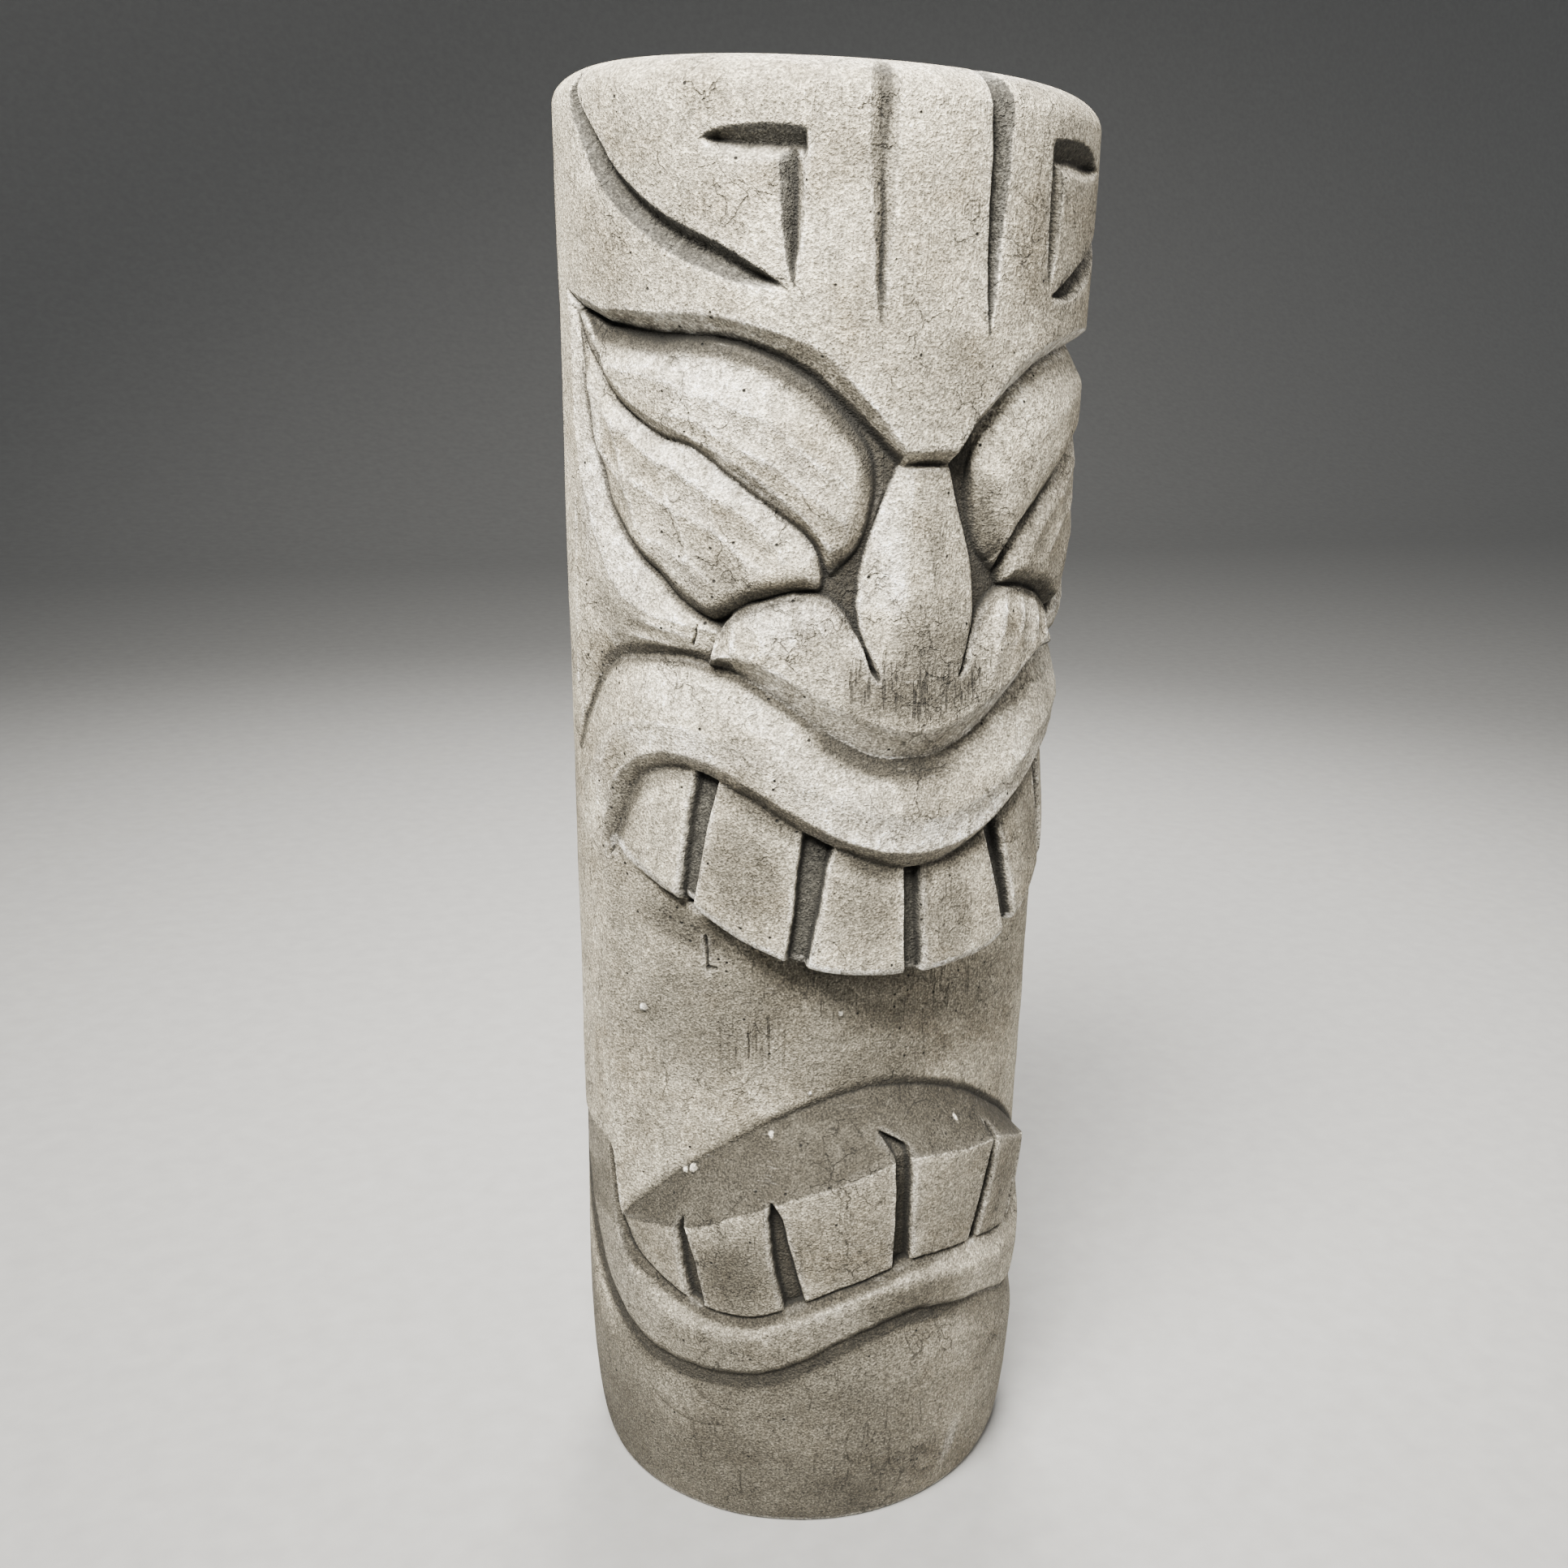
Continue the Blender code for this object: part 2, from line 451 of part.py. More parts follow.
def cut_flat_underneath(mesh):
    """Cuts off what is below the ground and closes the cut with one flat face."""
    bm = bmesh.new()
    bm.from_mesh(mesh)
    cut = bmesh.ops.bisect_plane(bm, geom=bm.verts[:] + bm.edges[:] + bm.faces[:], dist=1e-6,
                                 plane_co=(0, 0, 0), plane_no=(0, 0, 1), clear_inner=True)
    rim = [part for part in cut["geom_cut"] if isinstance(part, bmesh.types.BMEdge)]
    bmesh.ops.contextual_create(bm, geom=rim)
    bmesh.ops.triangulate(bm, faces=bm.faces[:])
    bmesh.ops.recalc_face_normals(bm, faces=bm.faces[:])
    bm.to_mesh(mesh)
    bm.free()


def stone_material():
    stone = bpy.data.materials.new("antiqued_cast_stone")
    stone.use_nodes = True
    shader = stone.node_tree.nodes["Principled BSDF"]
    shader.inputs["Base Color"].default_value = STONE
    shader.inputs["Roughness"].default_value = STONE_ROUGHNESS
    shader.inputs["Metallic"].default_value = 0.0
    return stone


def main():
    clear_scene()
    mesh = thinned(carved_mesh())
    cut_flat_underneath(mesh)
    mesh.materials.clear()
    mesh.materials.append(stone_material())
    totem = bpy.data.objects.new("tiki_totem", mesh)
    bpy.context.scene.collection.objects.link(totem)


main()
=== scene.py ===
"""Looks of a cast-stone tiki totem: one finely carved mesh in antiqued cast stone, on a pale floor.

Metres, +Z up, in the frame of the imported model: the origin is the centre of the underside, and the
mask faces -Y. The relief is worked out in millimetres on the unrolled front of the post, on a close
grid: `s` runs round the post from the middle of the face, towards +X, and `z` runs up from the
ground. A line is a list of (s, z, depth) points, where depth is how far the surface lies below the
round post. The larger forms are strips between two such lines, and the finer ones are chisel scoops,
scored lines and random unevenness laid over them. Masks for the finish come from the same grid.
"""

import math
from types import SimpleNamespace

import bmesh
import bpy
import numpy as np
from mathutils import Euler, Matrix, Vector


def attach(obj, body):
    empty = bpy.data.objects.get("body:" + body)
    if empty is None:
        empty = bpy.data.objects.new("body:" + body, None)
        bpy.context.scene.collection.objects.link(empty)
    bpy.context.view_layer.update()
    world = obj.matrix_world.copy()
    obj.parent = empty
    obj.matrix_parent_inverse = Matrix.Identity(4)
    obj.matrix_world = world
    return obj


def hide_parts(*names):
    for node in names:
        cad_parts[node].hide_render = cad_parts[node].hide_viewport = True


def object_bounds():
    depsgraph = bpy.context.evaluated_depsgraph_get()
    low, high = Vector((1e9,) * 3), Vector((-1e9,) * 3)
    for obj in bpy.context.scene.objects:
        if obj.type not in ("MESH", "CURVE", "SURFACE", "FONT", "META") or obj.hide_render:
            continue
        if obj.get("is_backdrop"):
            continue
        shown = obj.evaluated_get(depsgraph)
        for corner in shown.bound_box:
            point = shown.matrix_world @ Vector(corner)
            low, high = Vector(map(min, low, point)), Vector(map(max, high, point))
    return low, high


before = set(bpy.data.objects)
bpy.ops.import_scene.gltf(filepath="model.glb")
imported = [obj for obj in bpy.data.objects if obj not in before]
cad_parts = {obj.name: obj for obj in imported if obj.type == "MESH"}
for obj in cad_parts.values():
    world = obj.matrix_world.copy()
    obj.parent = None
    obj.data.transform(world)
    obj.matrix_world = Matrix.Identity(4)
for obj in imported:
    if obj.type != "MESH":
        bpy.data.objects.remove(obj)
CAD_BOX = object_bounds()

MM = 0.001

# The post, in millimetres.
HEIGHT = 700.0
RADIUS = 121.8
RIM_INSET = 26.0
RIM_HEIGHT = 15.3
FOOT_INSET = 9.2
FOOT_HEIGHT = 92.0
CHIN_SWELL = 1.5
CHIN_LEVEL = 72.0
CHIN_REACH = 38.0

# The grid, and what the mesh is thinned to.
SPACING = 0.6
CARVED_HALF_ANGLE = 112.0
PLAIN_COLUMNS = 74
RIM_ROWS = 26
TOP_RINGS = 26
SPARE_BELOW = 3.0
BACK_FADE = 50.0
BACK_SCOOP_STEP = 17
BACK_SCOOP_HALF = 11
MOST_TRIANGLES = 192000
CONTRAST_STEPS = 12
CONTRAST_WEIGHT = 4e-5
CURVE_STEPS = 6

# Depths and sizes of the forms.
SOCKET_DEPTH = 10.0
NOSE_ROOT_DEPTH = 7.5
NOSE_ROOT_LEVEL = 549.0
NOSE_TIP_LEVEL = 455.0
NOSE_FACETS = [(-1, 5.5), (-0.9, 3.6), (-0.3, 0.6), (-0.22, 0.1), (0.3, 0), (0.74, 0.9), (0.86, 1.8),
               (1, 5)]
MOUTH_DEPTH = 32.0
MOUTH_HALF_WIDTH = 166.0
MOUTH_MIDDLE = 4.0
LIP_OVERLAP = 4.0
UNDERCUT_RUN = 5.0
TEETH_DEPTH = 3.0
TEETH_ROUNDING = 1.7
TEETH_ROLL = 4.5
GAP_WALL = 1.4
GAP_REACH = 12.0
NARROW_GAP = 2.5
BLOCK_DEPTH = 0.5
LIP_FACE_DROP = 1.5
LIP_STEP_REACH = 34.0
# How dark the brown wash and painted shade grow low on the chin.
CHIN_WASH_AND_SHADE = 0.84
FULL_CUT_WIDTH = 6.0

# How far the whole carved surface and the rim's last row lie inside the post's outline, which leaves room
# for the surface's unevenness.
SKIN = 0.45
TOP_DIP = 0.3

# Brow: its lower rim, and the foot of the wall under it, from the middle of the face outwards.
BROW_NOTCH = 12.0
BROW_RIM = [(12, 555.5, 0), (22, 569, 0), (32, 578, 0), (42, 588, 0), (52, 594, 0), (72, 600.5, 0),
            (95, 604, 0), (125, 604, 0), (155, 604.5, 0), (175, 609, 0), (190, 611.5, 0)]
BROW_FOOT = [(12, 549, 9), (19, 555, 10), (30, 565, 10), (41, 574, 9.5), (52, 581, 9.5), (74, 591, 9),
             (96, 595, 9), (130, 596.5, 9), (155, 599, 8), (178, 604, 5), (190, 611.5, 0)]

# Upper eyelid: the crease that bounds it above and beside the nose, and its lower edge.
LID_CREASE = [(188, 606, 2), (178, 602.5, 6), (155, 598, 8.5), (130, 596, 9), (96, 595, 9), (74, 591, 9),
              (52, 581, 9.5), (41, 573, 10), (30, 562, 10), (23.5, 549, 10), (23.5, 534, 10), (29, 517, 9.5),
              (38, 506.5, 8)]
LID_EDGE = [(188, 606, 2), (170, 597, 2), (159, 585, 1.8), (149, 575, 1.5), (123, 562, 1.5),
            (103, 556, 1.5), (82, 547, 1.5), (62, 534, 1.5), (52, 525, 1.5), (43, 513, 3), (38, 506.5, 8)]
LID_CREST = -0.9
LID_ROLL = 24.0
RIGHT_SCOOPS = 0.45

# Lower eyelid: the foot of the step above it, and the crease that bounds it below.
POUCH_TOP = [(182, 601, 2), (173, 589, 3), (161, 577, 4.5), (149, 568, 5), (127, 557, 5.5), (105, 551, 5.5),
             (84, 539, 5.5), (63, 526, 6), (52, 518, 7), (44, 504, 8.5)]
POUCH_CREASE = [(182, 601, 2), (178.5, 580, 3.5), (173, 557, 4.5), (166, 541, 5.5), (157, 522, 6.5),
                (139, 506, 6.5), (126, 498, 7), (116, 490, 7), (105, 484, 7.5), (96, 481, 8),
                (88, 484, 8.5), (76, 490.5, 9), (65, 494, 9), (54, 496.5, 9), (47, 497, 9), (44, 504, 8.5)]
POUCH_CREST = 0.3
POUCH_ROLL = 10.5

# Cheek: the crest between the bevel around the eye and the hollow over the lip, and the crease at the foot
# of the bevel, which is the pouch's own as far as its lowest point.
CHEEK_CREST = [(190, 611.5, 0), (187, 580, 0), (185, 553, 0), (179, 535, 0), (170, 515, 0), (162, 503, 0.3),
               (152, 491, 0.8), (142, 484.5, 1.4), (132, 481, 2), (115, 479, 2.5), (101, 477, 3.5),
               (88, 475, 6)]
CHEEK_CREASE = [CHEEK_CREST[0]] + POUCH_CREASE[:9] + [(96, 480, 8), (88, 475, 8)]
CHEEK_FADE = (190.0, 164.0)

# Nostrils: their top edge, the rim under nose and nostrils, and the foot of the wall under the rim.
NOSTRIL_TOP = [(0, 458, 0), (20, 460, 1), (26, 472, 4), (31, 480, 6), (36, 488, 6), (44, 494, 6),
               (52, 496, 6), (62, 495, 6), (73, 491.5, 6), (84, 487, 6), (94, 476, 5), (97, 464, 2)]
NOSE_RIM = [(0, 435.5, 0.3), (22, 440.5, 0.3), (42, 450, 0.3), (62, 461, 0.3), (77, 466.5, 0.5),
            (88, 468, 1), (97, 464, 2)]
NOSTRIL_ROLL = 17.0
NOSE_SIDE = [(13.5, 549, 9), (16.5, 541, 9), (20, 532, 9), (24.5, 521, 9), (28, 510, 9), (30, 499, 9),
             (30.5, 490, 8), (29, 481, 7), (25, 472, 5), (19, 458, 2), (17, 440, 0)]
# Two of the edges between the nose's facets.
FIRST_ARRIS = [(-5, 549, 0), (-6, 520, 0), (-8, 488, 0)]
SECOND_ARRIS = [(13, 549, 0), (20, 520, 0), (24, 488, 0)]

# Upper lip: the crease over it, its lower edge, and the foot of the wall behind that edge.
LIP_CREASE = [(0, 422, 9), (19, 424, 9), (41, 434, 9), (63, 447, 9), (85, 458, 9), (101, 461.5, 8.5),
              (115, 463, 8.5), (136, 461, 8.5), (160, 455, 8), (172, 446, 6), (184, 429, 3),
              (194, 408, 0)]
LIP_EDGE = [(0, 380, 1.3), (20, 382, 1.3), (40, 388, 1.4), (56, 397, 1.6), (76, 408, 2), (97, 417, 2.4),
            (118, 421, 2.5), (138, 417, 2.5), (150, 410, 2.2), (160, 401, 1.6), (166, 391, 1),
            (170, 370, 0)]
LIP_FOOT = [(0, 370.5, 8), (13, 371.5, 8), (34, 378, 8), (56, 388, 8), (78, 400, 8), (100, 409, 8),
            (122, 412, 8), (143, 405, 7.5), (153, 394, 6.5), (160, 380, 5), (166, 366, 2)]
LIP_SECTION = [(0, 1), (0.1, 0.87), (0.25, 0.66), (0.45, 0.42), (0.7, 0.18), (0.88, 0.04), (1, 0)]
LIP_BREAK = [(0, 396, 0.2), (20, 398, 0.2), (40, 404, 0.2), (56, 412.5, 0.2), (76, 423, 0.4),
             (97, 430.5, 0.7), (118, 433.5, 0.9), (135, 432.5, 0.9), (150, 428, 0.6), (163, 418, 0.3),
             (170, 405, 0.1), (174, 385, 0)]

# Teeth: the lower edge of the upper row, then the block of the lower row.
UPPER_TEETH_EDGE = [(0, 319, 3), (25, 319.5, 3), (46, 322, 3), (66, 328, 3), (87, 336, 3), (107, 346, 3),
                    (128, 353.5, 3), (150, 363, 3), (161, 369, 2.5), (166, 366, 2)]
BLOCK_BACK = [(-160, 165, 2), (-151, 173, 4), (-134, 189, 0), (-114, 206, 0), (-91, 221, 0), (-66, 232, 0),
              (-40, 240, 0), (-10, 246, 0), (20, 244, 0), (50, 238, 0), (75, 229, 0), (100, 215, 0),
              (125, 198, 0), (145, 181, 0), (165, 165, 2)]
BLOCK_EDGE = [(-160, 165, 2), (-148, 167, 1.5), (-133, 171, 1), (-112, 176, 0.8), (-97, 181, 0.5),
              (-82, 190, 0.5), (-65, 197, 0.5), (-47, 205, 0.5), (-32, 209, 0.5), (-16, 214, 0.5),
              (-2, 218, 0.5), (11, 219, 0.5), (29, 217.5, 0.5), (44, 215, 0.5), (72, 210, 0.5),
              (95, 200, 0.5), (117, 190, 0.5), (140, 176, 1), (165, 165, 2)]
BLOCK_FOOT = [(-159, 165, 3), (-152, 149, 5), (-137, 141, 5), (-115, 133, 5), (-94, 129, 5), (-73, 130, 5),
              (-52, 138, 5), (-31, 146, 5), (-10, 152, 5), (11, 157, 5), (33, 156, 5), (61, 153, 5),
              (90, 145, 5), (115, 140, 5), (135, 142, 5), (152, 151, 4.5), (164, 165, 3)]

# Lower lip: its inner edge past the ends of the block, its crest, and the foot of the step under it.
LEFT_CORNER = [(-164, 200, 0.5), (-162, 182, 1.5)]
RIGHT_CORNER = [(167, 182, 1.5), (170, 200, 0.5)]
LOWER_CREST = [(-168, 206, 0), (-167, 186, 0), (-164, 168, -0.2), (-157, 150, -0.6), (-144, 134, -1),
               (-126, 122, -1), (-101, 118, -1), (-71, 119, -1), (-52, 128, -1), (-32, 138, -1),
               (-12, 145, -1), (8, 147, -1), (27, 145, -1), (57, 140, -1), (85, 131, -1), (115, 124, -1),
               (140, 131, -1), (159, 148, -0.6), (169, 168, -0.2), (173, 186, 0), (174, 206, 0)]
LOWER_FOOT = [(-236, 205, 0), (-220, 174, 0.8), (-205, 147, 2.2), (-190, 124, 4), (-170, 107, 4.5),
              (-147, 97, 4.5), (-125, 93, 4.5), (-94, 92, 4.5), (-73, 95, 4.5), (-52, 103, 4.5),
              (-31, 114, 4.5), (-10, 123, 4.5), (11, 127, 4.5), (32, 124, 4.5), (74, 113, 4.5),
              (100, 101, 4.5), (120, 96, 4.5), (145, 98, 4.5), (170, 110, 4.5), (190, 126, 4),
              (205, 149, 2.2), (220, 176, 0.8), (236, 206, 0)]
LOWER_SECTION = [(0, 0), (0.3, 0.12), (0.6, 0.26), (0.8, 0.4), (0.93, 0.76), (1, 1)]

# Gaps between teeth: a line of (s, z, half width) down the middle of each, and how deep it is cut.
UPPER_GAPS = [([(-101, 415, 7.0), (-112, 344, 4.6)], 6), ([(-44, 390, 8.6), (-55, 322, 5.4)], 6),
              ([(4, 376, 4.8), (4.8, 310, 5.4)], 6), ([(52, 390, 5.6), (71.5, 325, 6.4)], 6),
              ([(103, 415, 7.0), (117, 344, 4.6)], 6)]
LOWER_GAPS = [([(-114, 180, 1.2), (-113.5, 172, 3.8), (-111.5, 152, 5.6), (-107.5, 133, 5.6)], 6),
              ([(-64, 198, 1.4), (-62.5, 190, 4.4), (-57, 160, 6.2), (-52, 138, 6.8)], 7),
              ([(-7, 231, 0.6), (-2, 226.5, 2.2), (4, 221, 5.0), (7, 154, 6.2)], 7),
              ([(70, 214, 3.0), (66, 195, 4.2), (58, 152, 4.6)], 6),
              ([(112, 194, 2), (109, 176, 4), (103, 138, 4.6)], 6)]

# Profiles of a V cut from its first edge to its second: depth shares, with the valley at 1.
SHARP_CUT = [(0, 0), (0.42, 1), (0.5, 0.96), (0.78, 0.4), (1, 0)]
LEVEL_CUT = [(0, 0), (0.5, 1), (0.56, 0.97), (0.8, 0.36), (1, 0)]
SOFT_CUT = [(0, 0), (0.12, 0.3), (0.4, 0.95), (0.55, 1), (0.85, 0.45), (1, 0)]

# Forehead: each cut as its two edges, its profile and its depth, and how much slate wash with painted shade
# lies on its first and on its second wall; the wall turned away from the light gets more.
FOREHEAD_CUTS = [
    ([(-26, 699), (-21, 695), (-20, 670), (-21, 640), (-22.5, 618), (-24.5, 600)],
     [(-26, 699), (-31.5, 694), (-31, 670), (-29, 640), (-27, 618), (-24.5, 600)], SOFT_CUT, 2.9, 0.3, 0.3),
    ([(25, 701), (20.5, 697), (20.5, 670), (21.5, 640), (22.5, 620), (25, 597)],
     [(25, 701), (31, 696), (30.5, 670), (28.8, 640), (27.2, 620), (25, 597)], SHARP_CUT, 5.8, 1.0, 0.9),
    ([(-55.5, 673.5), (-56, 650), (-57, 632), (-60, 615)],
     [(-66, 662), (-66, 652), (-64.5, 636), (-60, 615)], SHARP_CUT, 5.6, 0.35, 0.9),
    ([(-55.5, 673.5), (-70, 673.5), (-84, 673), (-93, 671.3), (-99, 668.5)],
     [(-55.5, 660.5), (-70, 660.5), (-85, 661.5), (-93, 664.5), (-99, 668.5)], LEVEL_CUT, 5.8, 0.95, 0.15),
    ([(57.5, 677), (57.5, 655), (58.5, 635), (61, 618)],
     [(68, 664), (67, 655), (65.5, 638), (61, 618)], SHARP_CUT, 5.6, 0.75, 0.4),
    ([(57.5, 677), (75, 677.5), (94, 676), (115, 669.5)],
     [(57.5, 663), (75, 663), (96, 664), (115, 669.5)], LEVEL_CUT, 5.8, 0.6, 0.0)]
CRESCENT_UPPER = [(174, 697, 0), (168, 684, 0), (152, 668, 0), (142, 658, 0), (122, 645, 0),
                  (102, 636, 0), (82, 627, 0), (62, 616.5, 0)]
CRESCENT_LOWER = [(174, 697, 0), (177, 682, 0), (168, 668, 0), (152, 651, 0), (132, 637, 0),
                  (112, 626.5, 0), (92, 619, 0), (77, 616, 0), (62, 616.5, 0)]
CRESCENT_DEPTH = 6.0
# On the crescents the upper wall, which faces down, gets more of the slate wash and painted shade.
CRESCENT_WASHES = ((-1, 0.95, 0.8), (1, 0.5, 0.35))  # the side, and the wash on each wall
CRESCENT_CRACKS = (-163, -152, -134, -124, -112, -100)

# Fine cracks in the chin.
CHIN_CRACKS = [[(-79, 36), (-80, 26), (-79, 12)], [(-140, 74), (-124, 64), (-104, 60), (-84, 63)],
               [(-112, 84), (-96, 74), (-76, 72)], [(-22, 66), (-23, 52), (-21, 38)],
               [(2, 60), (1, 44), (3, 30)], [(-46, 96), (-42, 84), (-44, 74)]]

# Single nicks, each with its half width and depth, and the places of the gouges under the teeth.
NICKS = [([(-104, 478.5), (-105, 474), (-107, 470)], 1.2, 1.8), ([(-106.4, 329), (-106.4, 312.5)], 1.5, 1.6),
         ([(-106.4, 313), (-101.5, 313)], 1.5, 1.2)]
GOUGES = (-99, -94.5, -90, -84, -79.5, -76, -71.5, -66, -62)

# Beads left by air bubbles in the mould: (s, z, radius).
CAST_BUBBLES = [(-142, 287, 2.0), (-27, 289, 1.5), (-114, 204, 2.3), (-119, 202, 1.6), (-69, 227, 1.5),
                (-46, 247, 1.2), (48, 226, 1.2)]

# Scoops of the chisel, on the distance from the middle: the s and z of the start and of the end, the half
# width and the depth.
LID_SCOOPS = [(164, 590, 108, 592, 8, 2.0), (120, 590, 62, 571, 11, 2.5), (74, 577, 35, 548, 11, 2.1),
              (146, 575, 98, 568, 7.5, 2.1), (108, 571, 56, 551, 9, 2.5), (68, 557, 36, 529, 9, 2.2),
              (152, 579, 113, 561, 6, 1.8), (122, 563, 76, 549, 7.5, 2.1), (86, 551, 50, 530, 8, 2.3),
              (58, 538, 37, 517, 7, 2.3)]
POUCH_SCOOPS = [(174, 586, 150, 560, 6, 1.8), (156, 570, 122, 549, 6.5, 2.1),
                (130, 556, 98, 541, 6.5, 2.3), (104, 546, 72, 527, 7, 2.3), (78, 532, 52, 510, 7, 2.1),
                (170, 572, 146, 538, 7.5, 2.1), (150, 556, 116, 530, 8, 2.5), (124, 543, 92, 522, 8, 2.7),
                (98, 532, 64, 508, 8, 2.5), (164, 546, 138, 514, 8, 2.1), (140, 534, 106, 508, 9, 2.3),
                (112, 523, 80, 499, 9, 2.3), (128, 512, 100, 488, 8, 1.9)]
NOSTRIL_SCOOPS = [(47, 495, 33, 470, 6, 1.6), (57, 496, 49, 471, 6.5, 1.7), (68, 494, 64, 470, 7, 1.7),
                  (80, 490, 78, 468, 6.5, 1.7), (90, 481, 91, 464, 5, 1.6), (38, 474, 25, 449, 7, 1.3),
                  (52, 472, 43, 452, 6, 1.0), (66, 471, 60, 458, 6.5, 0.9)]
NOSE_SCOOPS = [(-17, 548, -21, 458, 9.5, 0.9), (-3, 549, -5, 462, 8.5, 0.8), (8, 549, 12, 470, 7.5, 0.7),
               (17, 535, 23, 468, 7, 0.8), (2, 500, 0, 440, 12, 0.6)]

# Where more of the dark wash is left, with painted shade in the hollow of the mouth under the upper teeth,
# and where the stone is rubbed pale, with painted light on the lids and the left side, which face the light.
# For each place: the s and z of its middle, its half width, its half height, its lean in degrees and how
# much.
STAINS_AND_SHADE = [(-30, 306, 120, 22, 0, 0.66), (75, 280, 100, 50, 0, 0.3), (-30, 275, 110, 40, 0, 0.6),
          (-105, 288, 90, 56, 0, 0.72), (-10, 258, 110, 24, 0, 0.7), (-150, 372, 26, 60, 0, 0.35),
          (-152, 322, 20, 44, 0, 0.55), (-118, 332, 50, 18, -22, 0.8), (-84, 154, 34, 36, 0, 0.55),
          (-18, 22, 32, 16, 0, 0.12), (60, 185, 70, 30, 0, 0.2), (-30, 176, 40, 30, 0, 0.15),
          (66, 514, 34, 20, 30, 0.5), (-80, 368, 32, 38, 0, 0.7), (-22, 352, 28, 30, 0, 0.62),
          (26, 344, 20, 32, 0, 0.65), (11, 348, 7, 34, 0, 0.6), (-125, 382, 16, 26, 0, 0.4),
          (92, 372, 22, 30, 0, 0.5), (2, 454, 60, 22, 0, 0.8), (8, 468, 36, 34, 0, 0.78),
          (-88, 494, 40, 18, -12, 0.5), (88, 494, 40, 18, 12, 0.5), (-150, 479, 34, 16, 0, 0.45),
          (150, 479, 34, 16, 0, 0.4), (-25, 684, 4, 20, 0, 0.5), (-24, 612, 3, 14, 0, 0.6),
          (6, 516, 8, 30, 0, 0.35), (36, 522, 18, 30, 0, 0.3), (-140, 230, 30, 120, 0, 0.25),
          (70, 640, 50, 90, 0, 0.36), (5, 580, 40, 34, 0, 0.42), (-130, 640, 60, 70, 0, 0.35),
          (0, 400, 50, 18, 0, 0.25), (45, 692, 12, 8, 0, 0.35), (-60, 690, 60, 8, 0, 0.15)]
RUBBED_AND_LIT = [(-100, 572, 60, 12, -28, 0.5), (-45, 408, 60, 12, -19, 0.35), (30, 390, 50, 12, 12, 0.35),
          (-171, 540, 12, 60, -8, 0.9), (-146, 500, 26, 14, -35, 0.9), (-95, 580, 50, 14, -12, 0.7),
          (-62, 484, 30, 14, 0, 0.8), (-110, 548, 60, 9, -22, 0.8), (-15, 512, 9, 34, 8, 1.0),
          (0, 700, 200, 7, 0, 0.6), (-110, 447, 44, 16, 0, 0.4), (-100, 423, 60, 9, 0, 0.5),
          (0, 388, 60, 9, 0, 0.4), (44, 30, 6, 20, -15, 0.7), (-90, 200, 60, 14, 26, 0.12)]

# Where the cast is stippled and pitted, and where its wood grain shows, in rows like those of the stains.
PITTED = [(-158, 368, 16, 42, 0, 1), (-120, 330, 42, 13, -22, 0.9), (-104, 503, 34, 18, -25, 0.9),
          (-44, 524, 13, 14, 0, 0.6), (20, 585, 34, 24, 0, 0.35), (45, 290, 60, 30, 0, 0.5),
          (15, 35, 30, 10, 0, 0.8), (-27, 640, 9, 45, 0, 0.5), (158, 368, 16, 42, 0, 1),
          (-168, 450, 18, 22, 0, 0.6)]
GRAINED = [(4, 456, 58, 22, 0, 1.0), (-75, 275, 30, 32, 0, 0.35), (8, 50, 70, 40, 0, 0.4),
           (25, 350, 30, 34, 0, 0.35), (0, 510, 24, 40, 0, 0.3), (60, 285, 70, 40, 0, 0.5),
           (24, 650, 50, 60, 0, 0.25), (-20, 300, 60, 24, 0, 0.35)]

# ---------------------------------------------------------------------------- the grid and its tools

HALF_ARC = RADIUS * math.radians(CARVED_HALF_ANGLE)
COLUMN_S = np.linspace(-HALF_ARC, HALF_ARC, int(2 * HALF_ARC / SPACING))
STRAIGHT_Z = np.arange(-SPARE_BELOW, HEIGHT - RIM_HEIGHT, SPACING)
RIM_TURN = np.linspace(0, math.pi / 2, RIM_ROWS + 1)[1:]
ROW_Z = np.concatenate([STRAIGHT_Z, HEIGHT - RIM_HEIGHT * (1 - np.sin(RIM_TURN))])
SHAPE = (len(ROW_Z), len(COLUMN_S))
WARP_REACH = 3.0
# How steeply painted shade fades out from the line it is painted along.
SHADE_EDGE = 1.6
WALL_SECTION = [(0, 0), (0.06, 0.02), (0.16, 0.12), (0.9, 0.94), (1, 1)]


def smooth(value):
    value = np.clip(value, 0, 1)
    return value * value * (3 - 2 * value)


def ramp(value, start, end):
    """0 up to start and 1 from end on, with a smooth rise between. end may also be the lower of the two."""
    return smooth((value - start) / (end - start))


def section(u, points):
    """A drawn profile, read at u."""
    return np.interp(u, [x for x, _ in points], [y for _, y in points])


def waves(cell, seed, tall=1.0):
    """Smooth random unevenness over the grid, about -1 to 1. Its waves are cell mm wide and `tall` times as
    high."""
    rng = np.random.default_rng(seed)
    across = (COLUMN_S - COLUMN_S[0]) / cell
    up = (ROW_Z - ROW_Z[0]) / (cell * tall)
    knots = rng.uniform(-1.9, 1.9, (int(up[-1]) + 4, int(across[-1]) + 4))
    return spline(spline(knots.T, across).T, up)


def spline(knots, at):
    """A cubic spline down the first axis of the knots, read at each place."""
    whole = np.floor(at).astype(int)
    t = (at - whole)[:, None]
    weights = ((1 - t)**3, 3 * t**3 - 6 * t**2 + 4, -3 * t**3 + 3 * t**2 + 3 * t + 1, t**3)
    return sum(w / 6 * knots[whole + k] for k, w in enumerate(weights))


